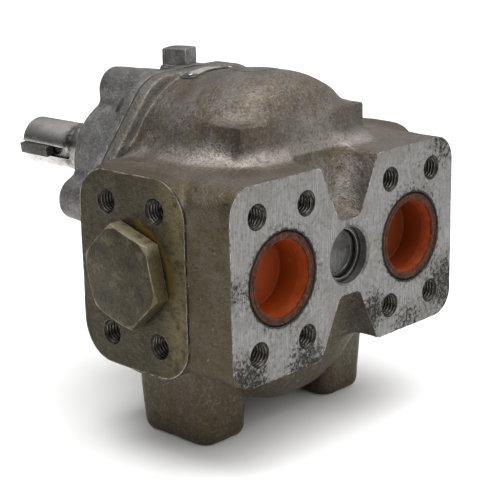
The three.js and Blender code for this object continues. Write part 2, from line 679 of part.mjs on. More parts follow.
// Radius of the upper gear case where it narrows towards the rim.
const caseRadiusAt = (y) =>
  THREE.MathUtils.mapLinear(y, CASE_TAPER_Y, RIM_REAR_Y + OVERSHOOT, CASE_R, CASE_FRONT_R);

// Thin blank plate bent over the top of the gear case.
function nameplate() {
  const { halfX, y0, y1, thickness } = PLATE;
  const [r0, r1] = [y0, y1].map((y) => caseRadiusAt(y) + 1.1 * GAP);
  const band = latheY([
    [r0, y0], [r0 + thickness, y0], [r1 + thickness, y1], [r1, y1], [r0, y0]], 0, DRIVE_Z);
  return steelPiece('nameplate', band.intersect(box(
    [-halfX, halfX], [y0 - OVERSHOOT, y1 + OVERSHOOT], [DRIVE_Z + 40, RIM_TOP_Z + 10])));
}

// Round-headed drive pin near one end of the plate.
function platePin(name, side) {
  const { halfX, y0, y1, thickness } = PLATE;
  const y = (y0 + y1) / 2;
  const base = caseRadiusAt(y) + thickness + 2.4 * GAP;
  const head = latheGeometry([[0, 0], [1.6, 0], [1.3, 0.6], [0, 0.8]], 10)
    .rotateX(Math.PI / 2)
    .translate(0, 0, base)
    .rotateY(side * Math.asin((halfX - 2.5) / base))
    .translate(0, y, DRIVE_Z);
  return steelPiece(name, solid(head));
}

// ---- assembly --------------------------------------------------------------------------

const pump = new THREE.Group();
pump.add(
  housing(),
  frontCover(),
  coverGasket(),
  driveShaft(),
  gear('drive_gear', DRIVE_Z, -Math.PI / 2),
  gearKey('drive_gear_key', DRIVE_Z),
  shaftKey(),
  idlerShaft(),
  gear('idler_gear', IDLER_Z, Math.PI / 2 + Math.PI / TEETH),
  gearKey('idler_gear_key', IDLER_Z),
  ...bearings(),
  shaftSeal(),
  snapRing('shaft_seal_snap_ring', SEAL_R - 2.5, SEAL_R + 0.9, SEAL_GROOVE_Y[0], DRIVE_Z),
  centrePlug(),
  centrePlugRing(),
  snapRing('centre_plug_snap_ring', CENTRE_R - 2.6, CENTRE_R + 0.8, CENTRE_GROOVE_Y[0], CENTRE_Z),
  sidePlug('left_side_plug', -1),
  sidePlugRing('left_side_plug_oring', -1),
  sidePlug('right_side_plug', 1),
  sidePlugRing('right_side_plug_oring', 1),
  portCap('left_port_cap', -1),
  portCap('right_port_cap', 1),
  topPipePlug(),
  ...coverBolts(),
  dowel('dowel_left', -1),
  dowel('dowel_right', 1),
  nameplate(),
  platePin('nameplate_pin_left', -1),
  platePin('nameplate_pin_right', 1),
);
pump.position.set(0, -SHAFT_END_Y, -DRIVE_Z);

const assembly = new THREE.Group();
assembly.add(pump);
export default assembly;
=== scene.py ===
import functools
import math

import bmesh
import bpy
import numpy as np
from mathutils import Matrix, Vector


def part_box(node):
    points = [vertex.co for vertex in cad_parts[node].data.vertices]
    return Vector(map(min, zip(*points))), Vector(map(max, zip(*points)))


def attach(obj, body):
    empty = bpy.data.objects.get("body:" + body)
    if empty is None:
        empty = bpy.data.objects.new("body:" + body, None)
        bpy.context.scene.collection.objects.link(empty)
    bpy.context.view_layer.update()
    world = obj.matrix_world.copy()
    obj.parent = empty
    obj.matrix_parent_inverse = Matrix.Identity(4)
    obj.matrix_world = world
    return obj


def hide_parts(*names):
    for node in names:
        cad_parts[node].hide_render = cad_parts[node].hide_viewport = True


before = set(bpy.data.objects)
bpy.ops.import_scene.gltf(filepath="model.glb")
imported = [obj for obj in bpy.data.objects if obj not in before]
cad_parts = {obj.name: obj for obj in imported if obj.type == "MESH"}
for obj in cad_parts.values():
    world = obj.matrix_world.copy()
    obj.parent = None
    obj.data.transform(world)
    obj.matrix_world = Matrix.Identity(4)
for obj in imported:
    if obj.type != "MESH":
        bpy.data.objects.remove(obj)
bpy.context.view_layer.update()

import openvdb
from mathutils import Matrix, Vector

# Everything below is laid out in millimetres in the pump's own frame: x = 0 on the centre
# plane, y = 0 on the rear port face, z = 0 at port height. MM and ORIGIN turn a point of
# that frame into the row frame in metres.
MM = 0.001
cap_lo, cap_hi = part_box("left_port_cap")
right_cap_lo, right_cap_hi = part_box("right_port_cap")
ORIGIN = Vector((0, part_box("housing")[0].y, (cap_lo.z + cap_hi.z) / 2))


def local(point):
    """A row-frame point in the pump's own millimetres."""
    return (point - ORIGIN) / MM


# ---- sizes taken from the frame ----

SHAFT_LO, SHAFT_HI = (local(p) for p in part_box("drive_shaft"))
SHAFT_Z = (SHAFT_LO.z + SHAFT_HI.z) / 2
SHAFT_R = (SHAFT_HI.z - SHAFT_LO.z) / 2
SHAFT_END = SHAFT_HI.y
IDLER_Z = -SHAFT_Z
BODY_LO, BODY_HI = (local(p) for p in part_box("housing"))
RIM_FRONT = BODY_HI.y
PAD_X = BODY_HI.x
FOOT_Z = BODY_LO.z
COVER_LO, COVER_HI = (local(p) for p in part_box("front_cover"))
RIM_HALF_X = COVER_HI.x
RIM_TOP = COVER_HI.z
COVER_REAR = COVER_LO.y
PILOT_FRONT = COVER_HI.y
PORT_X = local(right_cap_lo).x / 2 + local(right_cap_hi).x / 2
LIP_R = (local(cap_hi).x - local(cap_lo).x) / 2

# ---- other sizes, the same as in the CAD ----

CASE_R, LOW_CASE_R, CASE_FRONT_R = 61.5, 57.7, 57.5
CASE_TAPER = 62.0
MARK_X, MARK_Y, MARK_HALF_X, MARK_HALF_Y = 3.0, 66.0, 12.0, 13.0
BLOCK_X, BLOCK_Z, BLOCK_R = 88.3, 51.0, 14.0
BLOCK_FRONT = 101.0
RIM_REAR = 105.0
COVER_RIM = 120.0
HUB_FRONT = 178.0
PORT_R = 19.05
BOLT_DX, BOLT_DZ, BOLT_R = 17.86, 34.925, 6.35
SIDE_Y = 64.4
PAD_HALF_Y, PAD_HALF_Z, PAD_R = 38.5, 51.5, 20.0
CENTRE_Z, CENTRE_R, CENTRE_GROOVE = 0.5, 15.1, 5.5
CHAMBER_R, CHAMBER_REAR = 35.9, 40.0
LUG_RING, LUG_R, LUG_DRAFT = 39.6, 12.5, 3.4
LUG_SITES = [
    (LUG_RING * math.cos(math.radians(a)), SHAFT_Z + LUG_RING * math.sin(math.radians(a)))
    for a in (90, 210, 330)
]
BOLT_ROWS = ((37, 67), (63, 22), (63, -22), (37, -67))
COVER_BOLT_SITES = [(side * x, z) for x, z in BOLT_ROWS for side in (-1, 1)]
COVER_BOLT_R, COVER_BOLT_AF = 5.0, 15.0
DOWEL_SITES, DOWEL_R = ((-66.0, 0), (66.0, 0)), 4.0
PLUG_X, PLUG_Y, PLUG_SQUARE, PLUG_HEIGHT, PLUG_TURN = 2.5, 125.5, 14.3, 9.6, math.radians(21)
SEAL_R, SEAL_REAR, SEAL_GROOVE = 19.0, 168.0, 178.0
PILOT_R = 23.5
HEX_AF, HEX_HEIGHT, HEX_TURN = 47.6, 9.2, math.radians(-13.3)
SPOT_R, SPOT_DEPTH = 22.0, 2.0
CAP_STEP, CAP_FLOOR = 6.5, 19.0
MOUTH_R, MOUTH_DEPTH = 21.2, 23.0
PLATE_HALF_X, PLATE_Y0, PLATE_Y1, PLATE_T = 18.0, 93.0, 104.4, 0.5
KEY_W, KEY_ANGLE, KEYWAY_START = 6.35, math.radians(188), 206.5
KEY_Y0, KEY_Y1 = 225.0, 250.0
KEYWAY_DEPTH = 3.3
THREAD_PITCH = 1.954
CLIP_T = 1.4
GEAR_SLOT_Y0, GEAR_SLOT_Y1 = 63.6, 89.4
GAP = 0.3
FAR = 130  # reach of the cutters, past the whole pump


# ---- solid modelling with distance fields ----

def smooth_union(a, b, k):
    """Union of two distance fields with a fillet of about k."""
    h = np.clip(0.5 + 0.5 * (b - a) / k, 0, 1)
    return b + (a - b) * h - k * h * (1 - h)


def smooth_cut(a, b, k):
    """a without b, with a rounded edge."""
    return -smooth_union(-a, b, k)


def smooth_common(a, b, k):
    return -smooth_union(-a, -b, k)


def rounded_box(place, half, radius):
    """Distance to a rectangle or box round the origin, with rounded edges."""
    q = [np.abs(p) - (h - radius) for p, h in zip(place, half)]
    outside = np.sqrt(sum(np.maximum(v, 0) ** 2 for v in q))
    return outside + np.minimum(functools.reduce(np.maximum, q), 0) - radius


def slab(value, low, high):
    """Distance to the space between two planes."""
    return np.abs(value - (low + high) / 2) - (high - low) / 2


def bar(a, b, radius, along, low, high, ease):
    """Distance to a round bar round a = b = 0, between two planes, with eased ends."""
    return smooth_common(np.sqrt(a ** 2 + b ** 2) - radius, slab(along, low, high), ease)


def convex(a, b, corners, k):
    """Distance to a convex polygon, corners anticlockwise, with soft corners."""
    field = None
    for (a0, b0), (a1, b1) in zip(corners, corners[1:] + corners[:1]):
        length = math.hypot(a1 - a0, b1 - b0)
        side = ((b1 - b0) * (a - a0) - (a1 - a0) * (b - b0)) / length
        field = side if field is None else smooth_common(field, side, k)
    return field


def casting(name, make, low, high, material):
    """A mesh of the surface where a distance field is zero, between two corners."""
    step = 1.2
    axes = [np.arange(lo, hi + step, step, dtype=np.float32) for lo, hi in zip(low, high)]
    grid = np.meshgrid(*axes, indexing="ij", sparse=True)
    field = np.array(np.broadcast_to(make(grid), [len(a) for a in axes]), np.float32)
    volume = openvdb.FloatGrid(float(field.max()))
    volume.copyFromArray(field)
    points, quads = volume.convertToQuads(0.0)
    return build_mesh(name, points * step + np.array(low, np.float32), quads, material)


def add_object(name, data):
    obj = bpy.data.objects.new(name, data)
    bpy.context.scene.collection.objects.link(obj)
    return obj


def build_mesh(name, points, faces, material):
    """A mesh object from points in the pump's own millimetres, its faces turned outwards."""
    mesh = bpy.data.meshes.new(name)
    placed = np.asarray(points, float) * MM + np.array(ORIGIN)
    mesh.from_pydata(placed.tolist(), [], [list(map(int, f)) for f in faces])
    work = bmesh.new()
    work.from_mesh(mesh)
    bmesh.ops.recalc_face_normals(work, faces=work.faces)
    work.to_mesh(mesh)
    work.free()
    mesh.materials.append(material)
    return add_object(name, mesh)


# ---- turned and extruded bodies, and cutting ----

# For a body along each axis: which coordinates its section's two and its length become.
AXES = {"x": [1, 2, 0], "y": [0, 2, 1], "z": [0, 1, 2]}


def revolve(profile, axis, centre, segments=64, ring=False):
    """Points and faces of a body of revolution.

    The profile holds (radius, distance along the axis) pairs. A radius may be a function of
    the angle. Unless it is a ring, the first and last points lie on the axis."""
    angles = np.arange(segments) * 2 * math.pi / segments
    points, faces, starts, poles = [], [], [], []
    for radius, along in profile:
        starts.append(len(points))
        poles.append(not callable(radius) and radius == 0)
        if poles[-1]:
            points.append((0, 0, along))
        else:
            radii = radius(angles) if callable(radius) else np.full(segments, radius)
            points.extend(zip(radii * np.cos(angles), radii * np.sin(angles), [along] * segments))
    for i in range(len(profile) - (0 if ring else 1)):
        n = (i + 1) % len(profile)
        a, b = starts[i], starts[n]
        for j in range(segments):
            k = (j + 1) % segments
            if poles[i]:
                faces.append((a, b + k, b + j))
            elif poles[n]:
                faces.append((a + j, a + k, b))
            else:
                faces.append((a + j, a + k, b + k, b + j))
    placed = np.zeros((len(points), 3))
    placed[:, AXES[axis]] = np.array(points, float) + (*centre, 0)
    return placed, faces


def lathe(name, profile, axis, centre, material, segments=64, ring=False):
    return build_mesh(name, *revolve(profile, axis, centre, segments, ring), material)


def rod(radius, start, end):
    return [(0, start), (radius, start), (radius, end), (0, end)]


def outward(side, profile):
    """A profile along x, turned to the left (-1) or to the right (1)."""
    return [(radius, side * along) for radius, along in profile]


def groove(radius, start, depth):
    """The part of a bore's profile that holds a snap ring."""
    floor, end = radius + depth, start + 2
    return [(radius, start), (floor, start), (floor, end), (radius, end)]


def drilled(sites, radius, start, end, segments=24):
    """Straight holes along y, for gather."""
    return [revolve(rod(radius, start, end), "y", site, segments) for site in sites]


def extrude(outline, axis, start, end):
    """Points and faces of an outline swept along an axis."""
    count = len(outline)
    points = np.zeros((2 * count, 3))
    points[:, AXES[axis]] = [(a, b, along) for along in (start, end) for a, b in outline]
    sides = [(i, (i + 1) % count, (i + 1) % count + count, i + count) for i in range(count)]
    return points, [tuple(range(count)), tuple(range(count, 2 * count)), *sides]


def gather(parts):
    """Several separate bodies as one set of points and faces."""
    points, faces, count = [], [], 0
    for part_points, part_faces in parts:
        points.append(part_points)
        faces += [tuple(i + count for i in face) for face in part_faces]
        count += len(part_points)
    return np.concatenate(points), faces


def block(name, low, high, material):
    """A six-sided cutter."""
    outline = [(low[0], low[2]), (high[0], low[2]), (high[0], high[2]), (low[0], high[2])]
    return build_mesh(name, *extrude(outline, "y", low[1], high[1]), material)


def apply_modifiers(obj):
    graph = bpy.context.evaluated_depsgraph_get()
    shaped = bpy.data.meshes.new_from_object(obj.evaluated_get(graph))
    obj.modifiers.clear()
    old = obj.data
    obj.data = shaped
    bpy.data.meshes.remove(old)


def carve(obj, cutters, operation="DIFFERENCE"):
    """Cut with each cutter in turn. A cut face takes the cutter's material."""
    for cutter in cutters:
        step = obj.modifiers.new(cutter.name, "BOOLEAN")
        step.object = cutter
        step.operation = operation
        step.solver = "MANIFOLD"
        step.material_mode = "TRANSFER"
    apply_modifiers(obj)
    for cutter in cutters:
        bpy.data.objects.remove(cutter)


def combine_turned(obj, operation, profile, axis, centre, segments):
    """Trim a piece to a turned form (INTERSECT), or join the form to it (UNION)."""
    form = lathe("form", profile, axis, centre, obj.data.materials[0], segments)
    carve(obj, [form], operation)


def soften(obj, width, segments=2):
    """Round every sharp edge by a width in millimetres."""
    step = obj.modifiers.new("edges", "BEVEL")
    step.width = width * MM
    step.segments = segments
    step.limit_method = "ANGLE"
    step.angle_limit = math.radians(28)
    apply_modifiers(obj)


def piece(obj, nodes, body="body", angle=32):
    """Finish a piece: shading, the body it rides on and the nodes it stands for."""
    obj.data.polygons.foreach_set("use_smooth", [True] * len(obj.data.polygons))
    obj.data.set_sharp_from_angle(angle=math.radians(angle))
    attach(obj, body)
    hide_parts(*nodes)


def thread(depth, mouth, inward, radius, pitch, turn=0.0):
    """Profile of a tapped hole's cutter, from above its mouth to its drill point."""
    crest = radius - 0.54 * pitch

    def wall(along):
        def radii(angles):
            phase = (along / pitch - (angles + turn) / (2 * math.pi)) % 1
            ridge = np.clip(np.abs(phase - 0.5) * 2.5 - 0.12, 0, 1)
            flank = crest + (radius - crest) * ridge
            return np.maximum(flank, radius + 0.4 - along)
        return radii

    steps = np.arange(-1.5, depth, pitch / 7)
    rows = [(wall(step), mouth + inward * step) for step in steps]
    last = mouth + inward * depth
    return [(0, mouth - inward * 1.5)] + rows + [
        (crest, last), (crest, last + inward * 4), (0, last + inward * 7)]


# ---- materials ----

def fill(tree, node, values):
    """Give a node's inputs, by name or number, a value or a link."""
    for name, value in dict(values).items():
        if isinstance(value, bpy.types.NodeSocket):
            tree.links.new(value, node.inputs[name])
        else:
            node.inputs[name].default_value = value


def add_node(tree, kind, values=(), **settings):
    node = tree.nodes.new(kind)
    for key, value in settings.items():
        setattr(node, key, value)
    fill(tree, node, values)
    return node


class Finish:
    """A procedural material. Its textures are placed in the pump's own millimetres."""

    def __init__(self, name, metallic=0.0, specular=0.5):
        self.material = bpy.data.materials.new(name)
        self.material.use_nodes = True
        self.tree = self.material.node_tree
        self.surface = self.tree.nodes["Principled BSDF"]
        fill(self.tree, self.surface, {"Metallic": metallic, "Specular IOR Level": specular})
        coords = self.new("ShaderNodeTexCoord").outputs["Object"]
        shift = tuple(-c / MM for c in ORIGIN)
        self.place = self.vector("MULTIPLY_ADD", coords, (1 / MM,) * 3, shift)
        self.x, self.y, self.z = self.new("ShaderNodeSeparateXYZ", {0: self.place}).outputs
        self.width = self.math("ABSOLUTE", self.x)

    def new(self, kind, values=(), **settings):
        return add_node(self.tree, kind, values, **settings)

    def vector(self, operation, *values):
        node = self.new("ShaderNodeVectorMath", enumerate(values), operation=operation)
        return node.outputs[1 if operation in ("DISTANCE", "LENGTH") else 0]

    def math(self, operation, *values):
        return self.new("ShaderNodeMath", enumerate(values), operation=operation).outputs[0]

    def noise(self, size, detail=3.0, stretch=(1, 1, 1), rough=0.6, at=None):
        """Noise whose features are about size millimetres across."""
        scaled = self.vector("MULTIPLY", at or self.place, tuple(1 / s for s in stretch))
        return self.new("ShaderNodeTexNoise", {
            "Vector": scaled, "Scale": 1 / size, "Detail": detail, "Roughness": rough}).outputs[0]

    def fade(self, value, low, high):
        """0 where the value is at low, 1 where it is at high."""
        return self.new("ShaderNodeMapRange", {"Value": value, "From Min": low, "From Max": high},
                        interpolation_type="SMOOTHSTEP").outputs[0]

    def blotches(self, low, high, *noise, **settings):
        """Noise cut off softly: 0 where it is at low, 1 where it is at high."""
        return self.fade(self.noise(*noise, **settings), low, high)

    def scale(self, value, low, high):
        """A value from 0 to 1 moved to the span from low to high."""
        return self.math("MULTIPLY_ADD", value, high - low, low)

    def both(self, *masks):
        return functools.reduce(lambda a, b: self.math("MULTIPLY", a, b), masks)

    def either(self, *masks):
        return functools.reduce(lambda a, b: self.math("MAXIMUM", a, b), masks)

    def mix(self, amount, a, b):
        a, b = (c if isinstance(c, bpy.types.NodeSocket) else (*c, 1) for c in (a, b))
        return self.new("ShaderNodeMix", {0: amount, 6: a, 7: b}, data_type="RGBA").outputs[2]

    def shift(self, amount, a, b):
        """A number that goes from a to b with the amount."""
        return self.new("ShaderNodeMix", {0: amount, 2: a, 3: b}, data_type="FLOAT").outputs[0]

    def band(self, value, low, inner_low, inner_high, high):
        """1 between the inner pair, 0 below low and above high."""
        return self.both(self.fade(value, low, inner_low), self.fade(value, high, inner_high))

    def near(self, point, inner, outer):
        """1 within the inner distance of a point, 0 beyond the outer."""
        return self.fade(self.vector("DISTANCE", self.place, point), outer, inner)

    def radius(self, axis, centre):
        """Distance from a line along an axis."""
        flat = [1, 1, 1]
        flat["xyz".index(axis)] = 0
        return self.vector("DISTANCE", self.vector("MULTIPLY", self.place, flat), centre)

    def creases(self, reach, low, high, **settings):
        """1 in concave corners, 0 in the open."""
        node = self.new(
            "ShaderNodeAmbientOcclusion", {"Distance": reach * MM}, samples=6, **settings)
        return self.fade(self.math("SUBTRACT", 1, node.outputs["AO"]), low, high)

    def edges(self, reach):
        """1 on convex edges, 0 on the faces between."""
        return self.creases(reach, 0.12, 0.45, inside=True, only_local=True)

    def paint(self, colour, *masks):
        """Lay a colour over the present one, as far as every mask lets it."""
        self.colour = self.mix(self.both(*masks), self.colour, colour)

    def finish(self, roughness, *bumps):
        """Join the colour, the roughness and the (height, depth in mm) bumps to the surface."""
        normal = {}
        for height, depth in bumps:
            bump = self.new("ShaderNodeBump", {"Height": height, "Distance": depth * MM, **normal})
            normal = {"Normal": bump.outputs[0]}
        fill(self.tree, self.surface, {"Base Color": self.colour, "Roughness": roughness, **normal})
        return self.material


RIM_GREY = (0.13, 0.12, 0.105)
SOOT = (0.012, 0.011, 0.01)


def tint(colour, factor):
    return [channel * factor for channel in colour]


def cast_zones(f, light, stain, grime_and_shade, on_rim):
    """Broad areas of a casting that are cleaner, browner or darker than the rest, and a painted
    highlight on the fillet above the block.
    """
    low = f.fade(f.math("MULTIPLY_ADD", f.noise(19, 4), 60, f.z), 40, -60)
    f.paint(grime_and_shade, low, 0.85)
    f.paint(tint(stain, 0.8), f.fade(f.y, 66, 96), f.blotches(0.36, 0.6, 14, 4), 0.6)
    # painted highlight: a lighter band along the fillet just above the block's top, towards the rear
    fillet_highlight = f.band(f.z, BLOCK_Z + 0.2, BLOCK_Z + 2, BLOCK_Z + 4, BLOCK_Z + 11)
    f.paint(tint(light, 1.6), fillet_highlight, f.fade(f.y, 88, 60), 0.6)
    shelf = f.band(f.z, BLOCK_Z - 5, BLOCK_Z - 1.5, BLOCK_Z + 0.4, BLOCK_Z + 2)
    f.paint(stain, shelf, f.fade(f.y, 95, 70), 0.6)
    f.paint(stain, f.fade(f.z, 60, 92), f.scale(f.noise(21, 4), 0.1, 0.8))
    f.paint(tint(stain, 0.6), f.fade(f.z, 54, 61), f.fade(f.y, 38, 31), f.fade(f.width, 8, 34), 0.75)
    f.paint(RIM_GREY, on_rim, 0.8)


def cast_grain(f, light, dark):
    """Sand grain in two sizes, painted, and given back to be used as relief."""
    grain = f.noise(1.7, 3, rough=0.8)
    fine = f.noise(1.0, 2, rough=0.7)
    f.paint(tint(dark, 0.4), f.fade(grain, 0.5, 0.66), 0.65)
    f.paint(tint(light, 1.4), f.fade(grain, 0.47, 0.33), 0.35)
    f.paint(tint(dark, 0.3), f.fade(fine, 0.58, 0.66), 0.6)
    f.paint(tint(light, 1.7), f.fade(fine, 0.36, 0.3), 0.12)
    return grain, fine


def cast_lines(f, dark, grime_and_shade):
    """The block's grimy sides, the rim's worn ledge, the pads' dirty seam and the cast mark."""
    f.paint(tint(grime_and_shade, 0.95), f.fade(f.width, 74, 86), f.scale(f.noise(11, 4), 0.4, 0.95))
    ledge = f.band(f.y, RIM_REAR - 1.2, RIM_REAR - 0.6, RIM_REAR + 0.1, RIM_REAR + 0.5)
    f.paint((0.21, 0.198, 0.178), ledge, 0.5)
    f.paint((0.008, 0.007, 0.006), f.fade(f.width, PAD_X - 1.4, PAD_X - 1),
            f.blotches(0.36, 0.5, 6, 4), 0.9)
    from_mark = f.vector("SUBTRACT", f.place, (MARK_X, MARK_Y, 0))
    oval = f.vector("MULTIPLY", from_mark, (1 / MARK_HALF_X, 1 / MARK_HALF_Y, 0))
    ring = f.math("ABSOLUTE", f.math("SUBTRACT", f.vector("LENGTH", oval), 1))
    f.paint(tint(dark, 0.3), f.fade(ring, 0.07, 0.03), f.fade(f.z, 70, 80), 0.75)


def cast_skin(name, light, dark, stain, grime_and_shade, marks=()):
    """Sand-cast aluminium: grainy, stained, with dirt and painted shade in its corners, brighter on
    its edges.
    """
    f = Finish(name, 0.7, 0.35)
    f.colour = f.mix(f.blotches(0.38, 0.62, 26, 5), light, dark)
    f.paint(stain, f.blotches(0.48, 0.62, 17, 6, (1, 1, 1.8)), 0.75)
    on_rim = f.band(f.y, RIM_REAR - 1.4, RIM_REAR - 0.6, RIM_FRONT + 0.2, RIM_FRONT + 0.6)
    cast_zones(f, light, stain, grime_and_shade, on_rim)
    grain, fine = cast_grain(f, light, dark)
    cast_lines(f, dark, grime_and_shade)
    # dirt and painted shade: concave corners and the gaps next to other parts darkened
    f.paint(tint(grime_and_shade, 0.6), f.creases(9, 0.45, 0.9), f.scale(f.noise(5, 4), 0.2, 1.2),
            f.scale(on_rim, 0.5, 0.1))
    for point, reach in marks:
        spot = f.math("ADD", f.near(point, reach * 0.5, reach), f.scale(f.noise(1.5, 4), -0.5, 0.1))
        f.paint(SOOT, f.fade(spot, 0.3, 0.5))
    cracks = f.both(f.blotches(0.64, 0.67, 5, 4, (1, 3, 1)), f.blotches(0.5, 0.62, 9, 2))
    f.paint(tint(dark, 0.3), cracks, 0.7)
    f.paint(tint(light, 2.3), f.edges(0.8), f.blotches(0.42, 0.56, 5, 4),
            f.scale(on_rim, 0.6, 0.15))
    f.paint(tint(light, 2), f.blotches(0.73, 0.77, 1.2, 2, (9, 1, 3), 0.5), 0.4)
    return f.finish(f.scale(f.noise(3, 4), 0.3, 0.6), (grain, 0.33), (fine, 0.2),
                    (f.noise(9, 3), 0.9), (cracks, -0.3))


def milled(name, light, dark, grime_and_shade, streak, dirty=()):
    """A machined face: tool streaks, scratches and pits, with dirt gathered in a few places and
    painted shade in its corners.
    """
    f = Finish(name, 0.7)
    lines = f.noise(0.8, 3, streak, 0.8)
    f.colour = f.mix(f.fade(lines, 0.36, 0.62), dark, light)
    f.paint(dark, f.blotches(0.44, 0.62, 19, 5), 0.75)
    mottle = f.noise(2.6, 4, rough=0.8)
    f.paint(tint(dark, 0.5), f.fade(mottle, 0.52, 0.68), 0.65)
    f.paint(tint(light, 1.4), f.fade(mottle, 0.44, 0.32), 0.45)
    scratches = f.blotches(0.72, 0.76, 0.9, 2, tint(streak[::-1], 2.2), 0.5)
    f.paint(tint(light, 1.5), scratches, 0.4)
    amount = f.noise(2.4, 5, rough=0.8)
    for point, inner, outer, weight in dirty:
        amount = f.math("MULTIPLY_ADD", f.near(point, inner, outer), weight, amount)
    dirt = f.fade(amount, 0.62, 0.71)
    f.paint(tint(grime_and_shade, 3.6), f.fade(amount, 0.52, 0.66), 0.5)
    # painted shade: concave corners darkened, painted together with the dirt and nicks below
    corner = f.both(f.creases(3, 0.15, 0.7), 0.7)
    nicks = f.both(f.edges(1.3), f.blotches(0.52, 0.58, 2.6, 4))
    f.paint((0.5, 0.49, 0.47), f.edges(0.8), f.blotches(0.48, 0.6, 7, 4), 0.8)
    f.paint(grime_and_shade, f.either(dirt, corner, nicks), 0.84)
    rough = f.shift(dirt, f.scale(f.noise(2, 3), 0.28, 0.5), 0.8)
    return f.finish(rough, (lines, 0.12), (dirt, -0.15), (mottle, 0.2), (nicks, -0.3))


def pad_face(name):
    """The side port's face: faint tool rings round the plug, mottled brown and stained."""
    f = Finish(name, 0.65, 0.25)
    radius = f.radius("x", (0, SIDE_Y, 0))
    across = f.new("ShaderNodeCombineXYZ", {0: radius}).outputs[0]
    rings = f.noise(0.7, 3, at=across, rough=0.7)
    f.colour = f.mix(f.blotches(0.38, 0.64, 12, 5), (0.047, 0.038, 0.021), (0.029, 0.022, 0.011))
    f.paint((0.125, 0.102, 0.043), f.fade(f.y, 50, 30), f.blotches(0.3, 0.6, 9, 4), 0.85)
    f.paint((0.078, 0.067, 0.043), f.fade(rings, 0.45, 0.65),
            f.scale(f.fade(radius, 44, 30), 0.25, 0.8))
    grains = f.noise(2.4, 4, (1, 1.6, 0.8), 0.8)
    f.paint((0.016, 0.013, 0.009), f.fade(grains, 0.5, 0.66), 0.75)
    f.paint((0.095, 0.085, 0.062), f.fade(grains, 0.44, 0.32), 0.6)
    upper = f.both(f.fade(f.y, SIDE_Y, SIDE_Y - 8), f.fade(f.z, -16, 0))
    wet = f.both(f.fade(f.math("ADD", radius, f.scale(f.noise(4, 4), -3, 3)), 30.5, 27.5), upper)
    f.paint((0.15, 0.095, 0.016), wet, 0.8)
    # dirt and painted shade: a dark, blotchy ring round the base of the plug
    f.paint((0.025, 0.018, 0.008), f.fade(radius, 27, 24.5), f.blotches(0.3, 0.6, 3, 5), 0.85)
    # painted shade: the pad's concave corners round the plug darkened
    f.paint((0.022, 0.018, 0.012), f.creases(4, 0.15, 0.7), 0.8)
    f.paint((0.42, 0.4, 0.35), f.edges(1.1), f.blotches(0.4, 0.55, 6, 4), 0.8)
    return f.finish(f.scale(f.noise(2.5, 4), 0.32, 0.6), (rings, 0.1), (grains, 0.35),
                    (f.noise(5, 4), 0.4))


def bored(name, axis, light, dark):
    """The wall of a bore: fine turning rings, darker inside."""
    f = Finish(name, 0.7)
    stretch = [4, 4, 4]
    stretch["xyz".index(axis)] = 0.35
    rings = f.noise(1, 3, stretch)
    f.colour = f.mix(f.fade(rings, 0.3, 0.7), dark, light)
    f.paint((0.02, 0.016, 0.013), f.blotches(0.5, 0.7, 4, 5), 0.6)
    return f.finish(f.scale(f.noise(2, 3), 0.3, 0.55), (rings, 0.05))


def metal(name, light, dark, rough, stain=None, stretch=(1, 1, 1), metallic=0.9, wear=0.6,
          relief=0.08):
    """A worn metal surface with brighter edges and painted shade in its creases."""
    f = Finish(name, metallic)
    fine = f.noise(1.6, 4, stretch, 0.8)
    f.colour = f.mix(f.fade(fine, 0.34, 0.66), dark, light)
    f.paint(dark, f.blotches(0.46, 0.64, 7, 5), 0.7)
    if stain:
        f.paint(stain, f.blotches(0.5, 0.6, 11, 6, rough=0.7), 0.7)
    # painted shade: creases and the gaps next to other parts darkened
    f.paint(tint(dark, 0.25), f.creases(2, 0.3, 0.9), 0.8)
    bright = [min(1, c * 2 + 0.1) for c in light]
    f.paint(bright, f.edges(0.7), f.blotches(0.3, 0.55, 2.5, 3), wear)
    return f.finish(f.scale(f.noise(3, 4), *rough), (fine, relief), (f.noise(4, 4), relief * 2))


def shaft_steel(name):
    """Ground steel with rubbed brown film, scratches along it, a dark wear band and painted shade
    where it meets other parts.
    """
    f = Finish(name, 1.0)
    around = f.noise(0.5, 3, (6, 0.35, 6), 0.7)
    f.colour = f.mix(f.fade(around, 0.3, 0.7), (0.4, 0.385, 0.37), (0.58, 0.565, 0.55))
    film = f.blotches(0.42, 0.66, 9, 5, (1, 1.6, 1))
    f.paint((0.2, 0.165, 0.13), film, 0.6)
    f.paint((0.03, 0.025, 0.022), f.band(f.y, 198, 207, 210, 216), f.blotches(0.3, 0.55, 3, 4), 0.85)
    # painted shade: near black where the shaft meets other parts
    f.paint((0.015, 0.013, 0.012), f.creases(4, 0.2, 0.7), 0.85)
    f.paint((0.425, 0.42, 0.41), f.edges(0.6), 0.6)
    return f.finish(f.shift(film, 0.2, 0.42), (around, 0.03))


